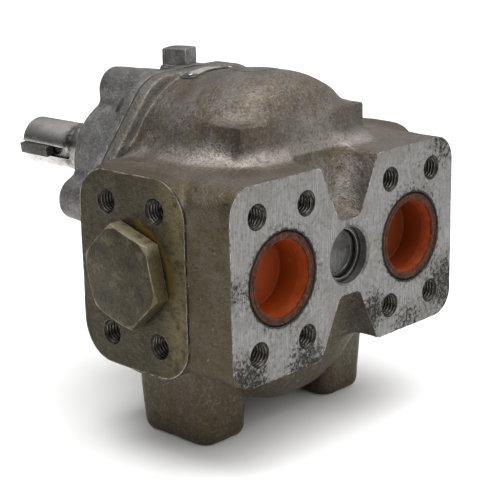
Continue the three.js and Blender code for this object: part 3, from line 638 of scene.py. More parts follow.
def cap_plastic(name):
    """Orange polythene: dull inside, with a lip worn and blackened by oily dirt."""
    f = Finish(name, specular=0.12)
    f.colour = f.mix(f.blotches(0.35, 0.7, 6, 5), (0.25, 0.041, 0.006), (0.18, 0.027, 0.004))
    f.paint((0.13, 0.021, 0.003), f.fade(f.y, 2, CAP_STEP - 0.1), 0.4)
    f.paint((0.2, 0.03, 0.005), f.fade(f.y, CAP_STEP - 0.1, CAP_STEP + 0.4), 0.8)
    f.paint((0.22, 0.043, 0.008), f.fade(f.y, CAP_FLOOR - 0.4, CAP_FLOOR - 0.1), 0.7)
    # painted shade: the right cap's inside darkened from 2 to 9 mm deep
    f.paint((0.07, 0.012, 0.003), f.fade(f.x, 0, PORT_X), f.fade(f.y, 2, 9), 0.5)
    lip = f.fade(f.math("MULTIPLY_ADD", f.noise(2.6, 4), 3.4, f.y), 2.9, 2.4)
    patches = f.noise(5, 5, rough=0.7)
    film = f.mix(f.fade(patches, 0.4, 0.6), (0.052, 0.026, 0.016), (0.02, 0.014, 0.011))
    bare = f.both(f.blotches(0.44, 0.36, 2.2, 5, rough=0.75), 0.8)
    film = f.mix(bare, film, (0.17, 0.045, 0.018))
    f.paint(film, lip, 0.94)
    near_mouth = f.fade(f.y, 7, 1)
    spots = f.math("MULTIPLY_ADD", near_mouth, 0.07, f.noise(2.6, 5, rough=0.8))
    spots = f.fade(spots, 0.7, 0.75)
    f.paint((0.014, 0.01, 0.008), spots, 0.92)
    from_rims = [
        f.math("ABSOLUTE", f.math("SUBTRACT", f.radius("y", (side * PORT_X, 0, 0)), LIP_R))
        for side in (-1, 1)
    ]
    from_rim = f.math("MULTIPLY_ADD", f.noise(2, 4), 1.8, f.math("MINIMUM", *from_rims))
    f.paint((0.009, 0.007, 0.006), f.fade(from_rim, 2.3, 1.6), 0.92)
    chips = f.either(lip, spots)
    return f.finish(f.shift(chips, 0.42, 0.8), (f.noise(2, 4), 0.15), (chips, 0.25))


def dull(name, light, dark, rough, size=2.0, relief=0.1):
    """Rubber, gasket sheet or another dull, dusty material."""
    f = Finish(name)
    f.colour = f.mix(f.blotches(0.35, 0.68, size, 5), light, dark)
    f.paint([c * 2.2 + 0.02 for c in light], f.blotches(0.52, 0.72, size * 4, 5), 0.35)
    return f.finish(f.scale(f.noise(size, 3), *rough), (f.noise(size / 2, 4), relief))


def plate_face(name):
    """Blank foil nameplate: a dark printed border round a paler, rubbed field."""
    f = Finish(name, 0.6)
    jitter = f.scale(f.noise(4, 4), -0.8, 0.8)
    from_end = f.math("SUBTRACT", PLATE_HALF_X, f.width)
    from_side = f.math("SUBTRACT", (PLATE_Y1 - PLATE_Y0) / 2, f.math(
        "ABSOLUTE", f.math("SUBTRACT", f.y, (PLATE_Y0 + PLATE_Y1) / 2)))
    inward = f.math("ADD", f.math("MINIMUM", f.math("MULTIPLY", from_end, 0.25), from_side), jitter)
    field = f.fade(inward, 0.9, 1.5)
    dark = f.mix(f.blotches(0.4, 0.7, 3, 5), (0.03, 0.034, 0.06), (0.06, 0.06, 0.085))
    light = f.mix(f.blotches(0.4, 0.7, 2.5, 5), (0.4, 0.385, 0.35), (0.27, 0.255, 0.225))
    f.colour = f.mix(f.both(f.edges(0.5), 0.7), f.mix(field, dark, light), (0.35, 0.34, 0.32))
    return f.finish(f.scale(f.noise(2, 3), 0.3, 0.5), (f.noise(1, 4), 0.05))


def plated(name):
    """Olive zinc plate on the hexagon plugs: smeared brown in front, with painted light on the upper
    flats.
    """
    f = Finish(name, 0.45, 0.25)
    fine = f.noise(1.6, 4, rough=0.8)
    f.colour = f.mix(f.fade(fine, 0.34, 0.66), (0.055, 0.047, 0.024), (0.105, 0.092, 0.052))
    # painted light: the upper flats lightened, as if lit from above
    f.paint((0.25, 0.222, 0.145), f.fade(f.z, 13, 19), 0.75)
    front = f.fade(f.width, PAD_X + HEX_HEIGHT - 0.35, PAD_X + HEX_HEIGHT - 0.1)
    smear = f.noise(10, 5, rough=0.65)
    face = f.mix(f.fade(fine, 0.36, 0.64), (0.022, 0.017, 0.008), (0.048, 0.039, 0.02))
    face = f.mix(f.both(f.fade(smear, 0.5, 0.58), 0.85), face, (0.013, 0.01, 0.006))
    face = f.mix(f.both(f.fade(smear, 0.45, 0.37), 0.75), face, (0.082, 0.068, 0.04))
    f.paint(face, front)
    f.paint((0.1, 0.062, 0.016), f.blotches(0.5, 0.62, 5, 5), f.scale(front, 0.8, 0.2))
    f.paint((0.42, 0.4, 0.33), f.edges(0.9), f.blotches(0.3, 0.5, 4, 3), 0.9)
    return f.finish(f.scale(f.noise(3, 4), 0.28, 0.52), (fine, 0.2), (f.noise(5, 4), 0.4))


BODY_SKIN = cast_skin("body_skin", (0.165, 0.15, 0.136), (0.098, 0.086, 0.072),
                      (0.088, 0.067, 0.042), (0.052, 0.037, 0.012),
                      (((13, 21, 39.5), 2.6), ((20, 19, 46), 2.4), ((-72, 0, -60), 2.2)))
COVER_SKIN = cast_skin("cover_skin", (0.228, 0.227, 0.228), (0.14, 0.138, 0.137),
                       (0.112, 0.104, 0.094), (0.078, 0.069, 0.056))
DIRTY_PLACES = tuple(
    ((side * PORT_X, 0, 0), LIP_R + inner, LIP_R + outer, weight)
    for side in (-1, 1) for inner, outer, weight in ((-0.6, 1.7, 0.4), (1, 9, 0.075))) + (
    ((-80, 0, -50), 6, 28, 0.2), ((-34, 0, -50), 3, 26, 0.2), ((84, 0, -34), 5, 28, 0.2),
    ((82, 0, 48), 3, 20, 0.13), ((20, 0, -34), 3, 18, 0.2), ((50, 0, -50), 3, 24, 0.16),
    ((0, 0, 14), 2, 9, 0.12), ((-88, 0, 0), 2, 14, 0.14), ((60, 0, 40), 8, 48, 0.04))
PORT_FACE = milled("port_face", (0.222, 0.222, 0.226), (0.145, 0.139, 0.128), (0.014, 0.011, 0.008),
                   (1, 1, 16), DIRTY_PLACES)
COVER_FACE = milled("cover_face", (0.27, 0.267, 0.26), (0.17, 0.165, 0.16), (0.03, 0.027, 0.024),
                    (9, 1, 1))
PAD_FACE = pad_face("pad_face")
PORT_BORE = bored("port_bore", "y", (0.2, 0.195, 0.185), (0.09, 0.085, 0.078))
SIDE_BORE = bored("side_bore", "x", (0.2, 0.195, 0.185), (0.09, 0.085, 0.078))
# oily dirt and painted shade: the walls of every tapped and drilled hole coloured near black
OILY_SHADED_THREAD = metal("oily_shaded_thread_metal", (0.058, 0.053, 0.046), (0.012, 0.01, 0.008), (0.3, 0.5),
               (0.025, 0.018, 0.011), wear=0.9)
ZINC = plated("zinc_plate")
SHAFT = shaft_steel("ground_steel")
BLACK = metal("black_steel", (0.11, 0.106, 0.1), (0.04, 0.037, 0.034), (0.35, 0.6),
              (0.06, 0.043, 0.026), wear=0.7)
PLUG_STEEL = metal("pipe_plug_steel", (0.2, 0.197, 0.192), (0.1, 0.096, 0.09), (0.35, 0.6),
                   (0.07, 0.06, 0.045), wear=0.9)
CLIP_STEEL = metal("clip_steel", (0.2, 0.2, 0.195), (0.1, 0.1, 0.097), (0.25, 0.45), wear=0.7)
DISC = metal("disc_steel", (0.13, 0.13, 0.128), (0.06, 0.06, 0.058), (0.25, 0.45),
             (0.045, 0.042, 0.036), metallic=0.8)
GEAR = metal("gear_steel", (0.45, 0.44, 0.42), (0.3, 0.29, 0.28), (0.2, 0.35), stretch=(3, 0.4, 3))
ALUMINIUM = metal("machined_aluminium", (0.6, 0.59, 0.58), (0.43, 0.42, 0.41), (0.3, 0.45),
                  stretch=(3, 0.5, 3))
BRONZE = metal("bronze", (0.5, 0.33, 0.14), (0.3, 0.18, 0.07), (0.25, 0.45), (0.2, 0.14, 0.07))
ORANGE = cap_plastic("orange_plastic")
RUBBER = dull("rubber", (0.03, 0.029, 0.027), (0.015, 0.014, 0.013), (0.5, 0.75))
GASKET = dull("gasket_sheet", (0.05, 0.043, 0.036), (0.02, 0.016, 0.013), (0.7, 0.9), 1.5)
SEAL_RING = dull("seal_ring", (0.1, 0.07, 0.02), (0.03, 0.022, 0.01), (0.4, 0.6), 3)
PLATE = plate_face("plate_face")


# ---- the casting of the housing ----

def rounded_corners(corners, steps=6):
    """Outline points of a polygon whose corners (a, b, radius) are eased."""
    points = []
    for i, (a, b, radius) in enumerate(corners):
        here = Vector((a, b))
        back = (Vector(corners[i - 1][:2]) - here).normalized()
        ahead = (Vector(corners[(i + 1) % len(corners)][:2]) - here).normalized()
        run = radius / math.tan(back.angle(ahead) / 2)
        start, end = here + back * run, here + ahead * run
        for t in np.linspace(0, 1, steps + 1):
            point = start * (1 - t) ** 2 + here * (2 * t * (1 - t)) + end * t ** 2
            points.append((point.x, point.y))
    return points


RIM_SIDE = [(32, -RIM_TOP, 25), (RIM_HALF_X, -56.5, 28), (RIM_HALF_X, 34.4, 32), (35, RIM_TOP, 28)]
RIM_OUTLINE = rounded_corners(RIM_SIDE + [(-x, z, r) for x, z, r in reversed(RIM_SIDE)])


def rim(grid, start, end):
    x, y, z = grid
    return smooth_common(convex(x, z, RIM_OUTLINE, 0.4), slab(y, start, end), 1.2)


def case_radius(y, widest=CASE_R):
    """Radius of a round gear case, which eases down from its middle to the rim."""
    ease = np.clip((y - CASE_TAPER) / (RIM_REAR - CASE_TAPER), 0, 1)
    return widest + (CASE_FRONT_R - widest) * ease * ease * (3 - 2 * ease)


def gear_case(grid, axis_z, widest):
    x, y, z = grid
    return np.sqrt(x * x + (z - axis_z) ** 2) - case_radius(y, widest)


def rear_wall(grid):
    """Behind the wall that slopes from the web between the ports up to the domes."""
    x, y, z = grid
    height = np.abs(z)
    low = (-33 * (y - 12) + 14 * (height - 18)) / 35.8
    high = (-24 * (y - 25) + 6 * (height - 51)) / 24.7
    return smooth_union(low, high, 6)


def ripple(grid, depth):
    """The slight unevenness of a sand casting."""
    x, y, z = grid
    slow = np.sin(x * 0.21 + 1.3) * np.sin(z * 0.17 + y * 0.09) * np.sin(y * 0.19 + 0.4)
    quick = np.sin(x * 0.63 + z * 0.4) * np.sin(y * 0.57 - z * 0.3 + 2)
    return depth * (slow + 0.25 * quick)


def case_field(grid):
    """Both gear cases and the waist between them, closed by the sloping wall behind."""
    x, y, z = grid
    case = smooth_union(gear_case(grid, SHAFT_Z, CASE_R), gear_case(grid, IDLER_Z, LOW_CASE_R), 4)
    waist = np.maximum(np.abs(x) - 57, np.abs(z) - SHAFT_Z)
    case = smooth_common(smooth_union(case, waist, 6), rear_wall(grid), 20)
    corner_y = 23 + 0.5 * (np.abs(z) - 32)
    chamfer = 0.77 * (np.abs(x) - 48.6) - 0.64 * (y - corner_y)
    case = smooth_common(case, chamfer, 9)
    return smooth_common(case, y - (RIM_FRONT + 3), 1)


def port_block_field(grid):
    """Block behind the bow-tie port face, with a V notch above and one below."""
    x, y, z = grid
    draft = 3.4 * np.clip(y / 26, 0, 1) * np.clip((BLOCK_Z + 4 - np.abs(z)) / 14, 0, 1)
    ports = rounded_box((np.abs(x) - draft, z), (BLOCK_X, BLOCK_Z), BLOCK_R)
    ports = smooth_common(ports, slab(y, -3, BLOCK_FRONT), 3)
    notch_side = (np.abs(x) - 8 - (np.abs(z) - 20) * 15 / 31) * 0.9
    notch = smooth_common(smooth_common(notch_side, 20 - np.abs(z), 3), y - 45, 1)
    return smooth_cut(ports, notch, 1.6)


def side_field(solid, grid, side):
    """The casting with one side's corner boss, port pad and foot joined to it."""
    x, y, z = grid
    boss = rounded_box((x * side - 34, y - 42, z - 49), (14.5, 12, 22), 1.5)
    solid = smooth_union(solid, boss, 5)
    pad = rounded_box((y - SIDE_Y, z), (PAD_HALF_Y, PAD_HALF_Z), PAD_R)
    pad = smooth_common(pad, slab(x * side, 70, PAD_X + 3), 1)
    solid = smooth_union(solid, pad, 1.2)
    draft = (z - FOOT_Z) * 0.05
    foot = rounded_box((x * side - 48, y - 70), (16.6 + draft, 25.8 + draft), 9)
    foot = smooth_common(foot, slab(z, FOOT_Z - 0.4, -30), 6)
    return smooth_union(solid, foot, 6)


def housing_field(grid):
    """The whole casting, some millimetres proud of every face that is milled later."""
    x, y, z = grid
    web = np.maximum(np.maximum(np.abs(x) - 30, np.abs(z) - 21), slab(y, 0, 40))
    web = smooth_common(web, rear_wall(grid), 1)
    solid = smooth_union(smooth_union(case_field(grid), port_block_field(grid), 13), web, 3)
    for side in (-1, 1):
        solid = side_field(solid, grid, side)
    solid = smooth_union(solid, rim(grid, RIM_REAR, RIM_FRONT + 3), 0.8)
    mark = np.sqrt(((x - MARK_X) / MARK_HALF_X) ** 2 + ((y - MARK_Y) / MARK_HALF_Y) ** 2)
    groove = np.clip(1 - np.abs(mark - 1) * 9, 0, 1) * (z > 80)
    return solid + ripple(grid, 0.25) + 0.35 * groove


def threaded_holes(name, sites, axis, depth, mouth, inward, radius=BOLT_R, pitch=THREAD_PITCH):
    """Cutter for several tapped holes of one kind."""
    parts = [
        revolve(thread(depth, mouth, inward, radius, pitch, turn=i), axis, site, 36)
        for i, site in enumerate(sites)
    ]
    return build_mesh(name, *gather(parts), OILY_SHADED_THREAD)


def bolt_pattern(middle):
    """The four holes round a port whose middle is this far along, at port height."""
    return [(middle + a * BOLT_DX, b * BOLT_DZ) for a in (-1, 1) for b in (-1, 1)]


def make_housing():
    body = casting("housing_casting", housing_field, (-98, -5, -106), (98, 118, 96), BODY_SKIN)
    cutters = [
        block("rear_face", (-FAR, -20, -FAR), (FAR, 0, FAR), PORT_FACE),
        block("front_face", (-FAR, RIM_FRONT, -FAR), (FAR, FAR, FAR), COVER_FACE),
        block("foot_face", (-FAR, -FAR, -FAR), (FAR, FAR, FOOT_Z), COVER_FACE),
        block("left_face", (-FAR, -FAR, -FAR), (-PAD_X, FAR, FAR), PAD_FACE),
        block("right_face", (PAD_X, -FAR, -FAR), (FAR, FAR, FAR), PAD_FACE),
        lathe("centre_hole", [
            (0, -2), (CENTRE_R + 1.4, -2), (CENTRE_R + 1.2, 0), (CENTRE_R, 1.1),
            *groove(CENTRE_R, CENTRE_GROOVE, 1.1), (CENTRE_R, 22), (0, 22)],
            "y", (0, CENTRE_Z), PORT_BORE, 96),
    ]
    for side in (-1, 1):
        cutters.append(lathe("port", [
            (0, -2), (LIP_R + GAP, -2), (LIP_R + GAP, 3), (MOUTH_R, 3), (MOUTH_R, MOUTH_DEPTH),
            (PORT_R, MOUTH_DEPTH + 2), (PORT_R, 78), (0, 84)],
            "y", (side * PORT_X, 0), PORT_BORE, 96))
        cutters.append(lathe("side_port", outward(side, [
            (0, PAD_X + 2), (SPOT_R, PAD_X + 2), (SPOT_R, PAD_X - SPOT_DEPTH),
            (PORT_R, PAD_X - SPOT_DEPTH), (PORT_R, PORT_X), (0, PORT_X)]),
            "x", (SIDE_Y, 0), SIDE_BORE, 96))
        cutters.append(threaded_holes("rear_holes", bolt_pattern(side * PORT_X), "y", 20, 0, 1))
        cutters.append(threaded_holes(
            "side_holes", bolt_pattern(SIDE_Y), "x", 20, side * PAD_X, -side))
        cutters.append(lathe("chamber", rod(CHAMBER_R, CHAMBER_REAR, FAR),
                             "y", (0, side * SHAFT_Z), PORT_BORE, 96))
        near, away = sorted((side * 10, side * PORT_X))
        cutters.append(block("passage", (near, 60, -13), (away, 78, 13), PORT_BORE))
    holes = drilled(COVER_BOLT_SITES, COVER_BOLT_R + GAP, RIM_FRONT - 24, FAR)
    holes += drilled(DOWEL_SITES, DOWEL_R + GAP, RIM_FRONT - 8, FAR)
    cutters.append(build_mesh("rim_holes", *gather(holes), OILY_SHADED_THREAD))
    carve(body, cutters)
    piece(body, ["housing"], angle=38)


# ---- the front cover ----

def cover_field(grid):
    """The whole casting, 3 mm proud of every face that is milled later."""
    x, y, z = grid
    rear, front = COVER_REAR - 3, HUB_FRONT + 3
    neck_r = np.interp(y, (112, 120, 124, 130, 145, 174, 178), (44.5, 43, 40.5, 38.8, 37, 34.5, 34))
    dome_r = np.interp(y, (112, 124, 131), (36, 33.5, 28))
    lug_r = np.interp(y, (COVER_REAR, HUB_FRONT), (LUG_R + LUG_DRAFT, LUG_R))
    neck = bar(x, z - SHAFT_Z, neck_r, y, rear, front, 2)
    dome = bar(x, z - IDLER_Z, dome_r, y, rear, COVER_RIM + 10, 5)
    solid = smooth_union(smooth_union(rim(grid, rear, COVER_RIM), neck, 7), dome, 7)
    for lug_x, lug_z in LUG_SITES:
        solid = smooth_union(solid, bar(x - lug_x, z - lug_z, lug_r, y, rear, front, 2), 6)
    solid = smooth_union(solid, bar(x - PLUG_X, y - PLUG_Y, 11, z, 60, RIM_TOP, 1.5), 3)
    pilot = bar(x, z - SHAFT_Z, PILOT_R + 3, y, 150, PILOT_FRONT + 3, 1)
    return smooth_union(solid, pilot, 1) + ripple(grid, 0.22)


def make_cover():
    cover = casting(
        "front_cover_casting", cover_field, (-82, 107, -93), (82, 192, 93), COVER_SKIN)
    spigot = [(PILOT_R, HUB_FRONT), (FAR, HUB_FRONT), (FAR, FAR * 2), (PILOT_R, FAR * 2)]
    cutters = [
        block("joint_face", (-FAR, 60, -FAR), (FAR, COVER_REAR, FAR), COVER_FACE),
        lathe("hub_face", spigot, "y", (0, SHAFT_Z), COVER_FACE, 128, ring=True),
        block("pilot_face", (-FAR, PILOT_FRONT, -FAR), (FAR, FAR * 2, FAR), COVER_FACE),
        lathe("shaft_way", [
            (0, 100), (SHAFT_R + 1.2, 100), (SHAFT_R + 1.2, SEAL_REAR), (SEAL_R, SEAL_REAR),
            *groove(SEAL_R, SEAL_GROOVE, 1.2), (SEAL_R, PILOT_FRONT - 0.8),
            (SEAL_R + 1.6, PILOT_FRONT + 1), (0, PILOT_FRONT + 1)],
            "y", (0, SHAFT_Z), COVER_FACE, 96),
        lathe("drain", [(0, 69.5), (9.6, 69.5), (9.6, RIM_TOP + 3), (0, RIM_TOP + 3)], "z",
              (PLUG_X, PLUG_Y), OILY_SHADED_THREAD, 48),
        threaded_holes("lug_holes", LUG_SITES, "y", 16, HUB_FRONT, -1, COVER_BOLT_R, 1.5),
    ]
    seats = drilled(COVER_BOLT_SITES, 10.2, COVER_RIM - 0.5, COVER_RIM + 6, 48)
    cutters.append(build_mesh("screw_seats", *gather(seats), COVER_FACE))
    ways = drilled(COVER_BOLT_SITES, COVER_BOLT_R + 0.5, 100, 140, 32)
    ways += drilled(DOWEL_SITES, DOWEL_R + GAP, 100, COVER_REAR + 4)
    cutters.append(build_mesh("screw_ways", *gather(ways), OILY_SHADED_THREAD))
    carve(cover, cutters)
    piece(cover, ["front_cover"], angle=38)


# ---- shaft and key ----

def key_bar(start, end, inner, outer, half_width, round_start):
    """A bar along the shaft at the key's angle; its first end may be rounded."""
    if round_start:
        turns = np.linspace(math.pi / 2, 3 * math.pi / 2, 13)
        outline = [(start + half_width * (1 + math.cos(t)), half_width * math.sin(t)) for t in turns]
    else:
        outline = [(start, half_width), (start, -half_width)]
    outline += [(end, -half_width), (end, half_width)]
    points, faces = extrude(outline, "z", inner, outer)
    along, across, out = points.T
    cos, sin = math.cos(KEY_ANGLE), math.sin(KEY_ANGLE)
    placed = np.column_stack((out * cos - across * sin, along, out * sin + across * cos + SHAFT_Z))
    return placed, faces


def make_shaft():
    start = SHAFT_LO.y
    profile = [
        (0, start), (SHAFT_R - 1, start), (SHAFT_R, start + 1), (SHAFT_R, 186), (SHAFT_R, 206),
        (SHAFT_R - 0.08, 206.6), (SHAFT_R - 0.08, 213.4), (SHAFT_R, 214), (SHAFT_R, SHAFT_END - 1.2),
        (SHAFT_R - 1.2, SHAFT_END), (4.6, SHAFT_END), (4.2, SHAFT_END - 0.4), (1.6, SHAFT_END - 5),
        (1.6, SHAFT_END - 9), (0, SHAFT_END - 10)]
    shaft = lathe("drive_shaft_turned", profile, "y", (0, SHAFT_Z), SHAFT, 128)
    slot = key_bar(KEYWAY_START, SHAFT_END + 3, SHAFT_R - KEYWAY_DEPTH, SHAFT_R + 5,
                   KEY_W / 2 + GAP, True)
    gear_slot = block("gear_slot", (-KEY_W / 2 - GAP, GEAR_SLOT_Y0, SHAFT_Z + SHAFT_R - KEYWAY_DEPTH),
                      (KEY_W / 2 + GAP, GEAR_SLOT_Y1, SHAFT_Z + SHAFT_R + 4), SHAFT)
    carve(shaft, [build_mesh("keyway", *slot, SHAFT), gear_slot])
    soften(shaft, 0.2)
    piece(shaft, ["drive_shaft"], "drive_train")
    key = build_mesh("shaft_key_bar", *key_bar(
        KEY_Y0, KEY_Y1, SHAFT_R - 3, SHAFT_R + 3, KEY_W / 2, False), BLACK)
    soften(key, 0.4)
    piece(key, ["shaft_key"], "drive_train")


# ---- plugs, rings and caps ----

def hexagon(across_flats, turn):
    radius = across_flats / math.sqrt(3)
    return [(radius * math.cos(turn + (i + 0.5) * math.pi / 3),
             radius * math.sin(turn + (i + 0.5) * math.pi / 3)) for i in range(6)]


def make_side_plug(label, side):
    seat = PAD_X + GAP
    top = PAD_X + HEX_HEIGHT
    outline = [(y + SIDE_Y, z) for y, z in hexagon(HEX_AF, HEX_TURN)]
    head = build_mesh(f"{label}_hex_plug", *extrude(outline, "x", side * seat, side * top), ZINC)
    combine_turned(head, "INTERSECT", outward(side, [
        (0, seat - 1), (30, seat - 1), (30, top - 2.4), (HEX_AF / 2 + 1.2, top - 0.2),
        (HEX_AF / 2 + 0.4, top), (0, top)]), "x", (SIDE_Y, 0), 96)
    combine_turned(head, "UNION", outward(side, rod(18.6, seat - 16, seat + 1)), "x", (SIDE_Y, 0), 64)
    soften(head, 0.35)
    piece(head, [f"{label}_side_plug"])
    base = PAD_X - SPOT_DEPTH + GAP
    ring = lathe(f"{label}_plug_ring", outward(side, [
        (18.9, base), (SPOT_R - 0.5, base), (SPOT_R - GAP, base + 0.3), (SPOT_R - GAP, PAD_X - 0.3),
        (SPOT_R - 0.5, PAD_X), (18.9, PAD_X)]), "x", (SIDE_Y, 0), SEAL_RING, 96, ring=True)
    piece(ring, [f"{label}_side_plug_oring"])


def make_port_cap(label, side):
    wall = MOUTH_R - GAP
    profile = [
        (0, 21), (18.4, 21), (18.7, 20.6), (19.35, 8.6), (wall, 3.2), (wall, 2.7), (LIP_R - 0.5, 2.7),
        (LIP_R, 2.2), (LIP_R, 0.8), (LIP_R - 0.5, 0.3), (22.9, 0.3), (22.6, 0.6), (21.6, 0.6),
        (21.3, 0.3), (20.2, 0.3), (20.0, 0.5), (19.8, 0.9), (19.0, 6.2), (18.8, CAP_STEP),
        (18.6, CAP_STEP), (18.5, 6.8), (17.9, 18.4), (17.4, CAP_FLOOR), (0, CAP_FLOOR)]

    def uneven(radius, along):
        if radius < 17:
            return radius
        depth = 0.16 if along < 2.5 else 0.03
        return lambda angles: radius - depth * (
            1 + np.sin(angles * 5 + radius) * np.sin(angles * 13 + 2 * along))

    shaped = [(uneven(radius, along), along) for radius, along in profile]
    cap = lathe(f"{label}_orange_cap", shaped, "y", (side * PORT_X, 0), ORANGE, 128)
    piece(cap, [f"{label}_port_cap"])


def make_centre_plug():
    r = CENTRE_R - GAP
    disc = lathe("centre_disc", [
        (0, 8.6), (10.4, 8.6), (10.7, 8.2), (12.2, 8.2), (12.6, 8.5), (12.6, 9), (r - 0.5, 9),
        (r, 9.5), (r, 13.6), (12.8, 13.6), (12.8, 16.4), (r, 16.4), (r, 20), (0, 20)],
        "y", (0, CENTRE_Z), DISC, 96)
    piece(disc, ["centre_plug"])


def make_snap_ring(name, node, inner, outer, start, axis_z, gap_angle):
    """A spring ring whose two ends widen to eyes, each with a small hole."""
    half_gap = 2.6 / inner
    turns = np.linspace(gap_angle + half_gap, gap_angle + 2 * math.pi - half_gap, 97)
    outline_out = [(outer * math.cos(t), outer * math.sin(t)) for t in turns]
    outline_in = []
    for t in turns[::-1]:
        from_end = min(t - turns[0], turns[-1] - t) * inner
        eye = 1.9 * max(0, 1 - (max(0, from_end - 2.2) / 2.4) ** 2) if from_end < 4.6 else 0
        radius = inner - eye
        outline_in.append((radius * math.cos(t), radius * math.sin(t)))
    outline = [(x, z + axis_z) for x, z in outline_out + outline_in]
    ring = build_mesh(name, *extrude(outline, "y", start, start + CLIP_T), CLIP_STEEL)
    holes = []
    for end in (turns[0] + 2 / inner, turns[-1] - 2 / inner):
        at = ((inner - 0.3) * math.cos(end), (inner - 0.3) * math.sin(end) + axis_z)
        holes.append(revolve(rod(0.75, start - 1, start + CLIP_T + 1), "y", at, 16))
    carve(ring, [build_mesh("eyes", *gather(holes), CLIP_STEEL)])
    soften(ring, 0.15)
    piece(ring, [node])


def make_pipe_plug():
    half = PLUG_SQUARE / 2
    base = RIM_TOP + GAP
    top = base + PLUG_HEIGHT
    cos, sin = math.cos(PLUG_TURN), math.sin(PLUG_TURN)
    corners = [(a * half, b * half) for a, b in ((-1, -1), (1, -1), (1, 1), (-1, 1))]
    outline = [(PLUG_X + a * cos - b * sin, PLUG_Y + a * sin + b * cos) for a, b in corners]
    plug = build_mesh("square_pipe_plug", *extrude(outline, "z", base, top), PLUG_STEEL)
    combine_turned(plug, "UNION", [
        (0, base - 14), (8.4, base - 14), (8.6, base - 13), (9.2, base + 0.5), (0, base + 0.5)],
        "z", (PLUG_X, PLUG_Y), 48)
    combine_turned(plug, "INTERSECT", [
        (0, base - 15), (20, base - 15), (20, top - 4), (half * 1.22, top - 0.3), (0, top)],
        "z", (PLUG_X, PLUG_Y), 64)
    soften(plug, 0.6, 3)
    piece(plug, ["top_pipe_plug"])


# ---- screws, nameplate and seal ----

def make_cover_screw(label, row, x, z):
    seat = COVER_RIM + GAP
    top = seat + 7.4
    outline = [(a + x, b + z) for a, b in hexagon(COVER_BOLT_AF, 0.35 * row)]
    screw = build_mesh(f"cover_screw_{label}_{row}", *extrude(outline, "y", seat + 0.5, top), BLACK)
    combine_turned(screw, "INTERSECT", [
        (0, seat), (9, seat), (9, top - 1.1), (COVER_BOLT_AF / 2 - 0.2, top), (5.2, top),
        (4.8, top - 0.4), (0, top - 0.4)], "y", (x, z), 48)
    combine_turned(screw, "UNION", [
        (0, RIM_FRONT - 20), (4.2, RIM_FRONT - 20), (COVER_BOLT_R, RIM_FRONT - 19),
        (COVER_BOLT_R, seat), (7.7, seat), (8, seat + 0.3), (8, seat + 1), (0, seat + 1)],
        "y", (x, z), 48)
    soften(screw, 0.2)
    piece(screw, [f"cover_bolt_{label}_{row}"])


def make_nameplate():
    """A foil plate bent over the case, its corners trimmed, and its two pins."""
    columns, rows = 41, 9
    points, faces = [], []
    for lift in (GAP, GAP + PLATE_T):
        for across in np.linspace(-1, 1, columns):
            for along in np.linspace(-1, 1, rows):
                corner = max(0, abs(across) - 0.93) * max(0, abs(along) - 0.6) * 14
                y = (PLATE_Y0 + PLATE_Y1) / 2 + along * (PLATE_Y1 - PLATE_Y0) / 2
                x = across * (PLATE_HALF_X - corner * 2.2)
                radius = case_radius(y) + lift + 0.07 * math.sin(across * 9 + along * 2)
                points.append((x, y, SHAFT_Z + math.sqrt(radius ** 2 - x * x)))
    size = columns * rows
    for i in range(columns - 1):
        for j in range(rows - 1):
            a = i * rows + j
            quad = (a, a + 1, a + rows + 1, a + rows)
            faces += [quad, tuple(k + size for k in quad[::-1])]
    border = [i * rows for i in range(columns)]
    border += [(columns - 1) * rows + j for j in range(1, rows)]
    border += [i * rows + rows - 1 for i in range(columns - 2, -1, -1)]
    border += list(range(rows - 2, 0, -1))
    for a, b in zip(border, border[1:] + border[:1]):
        faces.append((a, b, b + size, a + size))
    plate = build_mesh("blank_nameplate", points, faces, PLATE)
    piece(plate, ["nameplate"])
    y = (PLATE_Y0 + PLATE_Y1) / 2
    for label, side in (("left", -1), ("right", 1)):
        base = case_radius(y) + 2 * GAP + PLATE_T
        rise = [(1.6 * math.cos(t), 0.12 + 0.6 * math.sin(t)) for t in np.linspace(0, 1.4, 6)]
        dome_points, dome_faces = revolve([(0, 0), (1.5, 0), *rise, (0, 0.74)], "z", (0, 0), 24)
        tilt = side * math.asin((PLATE_HALF_X - 2.5) / base)
        turn = Matrix.Rotation(tilt, 3, "Y")
        placed = [turn @ (Vector(p) + Vector((0, 0, base))) + Vector((0, y, SHAFT_Z))
                  for p in dome_points]
        pin = build_mesh(f"plate_pin_{label}", placed, dome_faces, CLIP_STEEL)
        piece(pin, [f"nameplate_pin_{label}"])


def make_seal():
    r = SEAL_R - GAP
    seal = lathe("seal_lip", [
        (SHAFT_R + 0.15, SEAL_REAR + 2), (SHAFT_R + 1.5, SEAL_REAR + 1), (r - 0.4, SEAL_REAR + GAP),
        (r, SEAL_REAR + 0.7), (r, 177), (r - 0.5, 177.5), (SHAFT_R + 2.6, 177.5),
        (SHAFT_R + 2.2, 176.4), (SHAFT_R + 1.4, 176.6), (SHAFT_R + 0.15, 174)],
        "y", (0, SHAFT_Z), RUBBER, 96, ring=True)
    piece(seal, ["shaft_seal"])


# ---- make every piece ----

make_housing()
make_cover()
make_shaft()
for LABEL, SIDE in (("left", -1), ("right", 1)):
    make_side_plug(LABEL, SIDE)
    make_port_cap(LABEL, SIDE)
    for ROW, (BOLT_X, BOLT_Z) in enumerate(BOLT_ROWS, 1):
        make_cover_screw(LABEL, ROW, SIDE * BOLT_X, BOLT_Z)
make_centre_plug()
make_snap_ring("centre_clip", "centre_plug_snap_ring", CENTRE_R - 2.1, CENTRE_R + 0.8,
               CENTRE_GROOVE + GAP, CENTRE_Z, math.radians(180))
make_snap_ring("seal_clip", "shaft_seal_snap_ring", SEAL_R - 2, SEAL_R + 0.9,
               SEAL_GROOVE + GAP, SHAFT_Z, math.radians(-90))
make_pipe_plug()
make_nameplate()
make_seal()

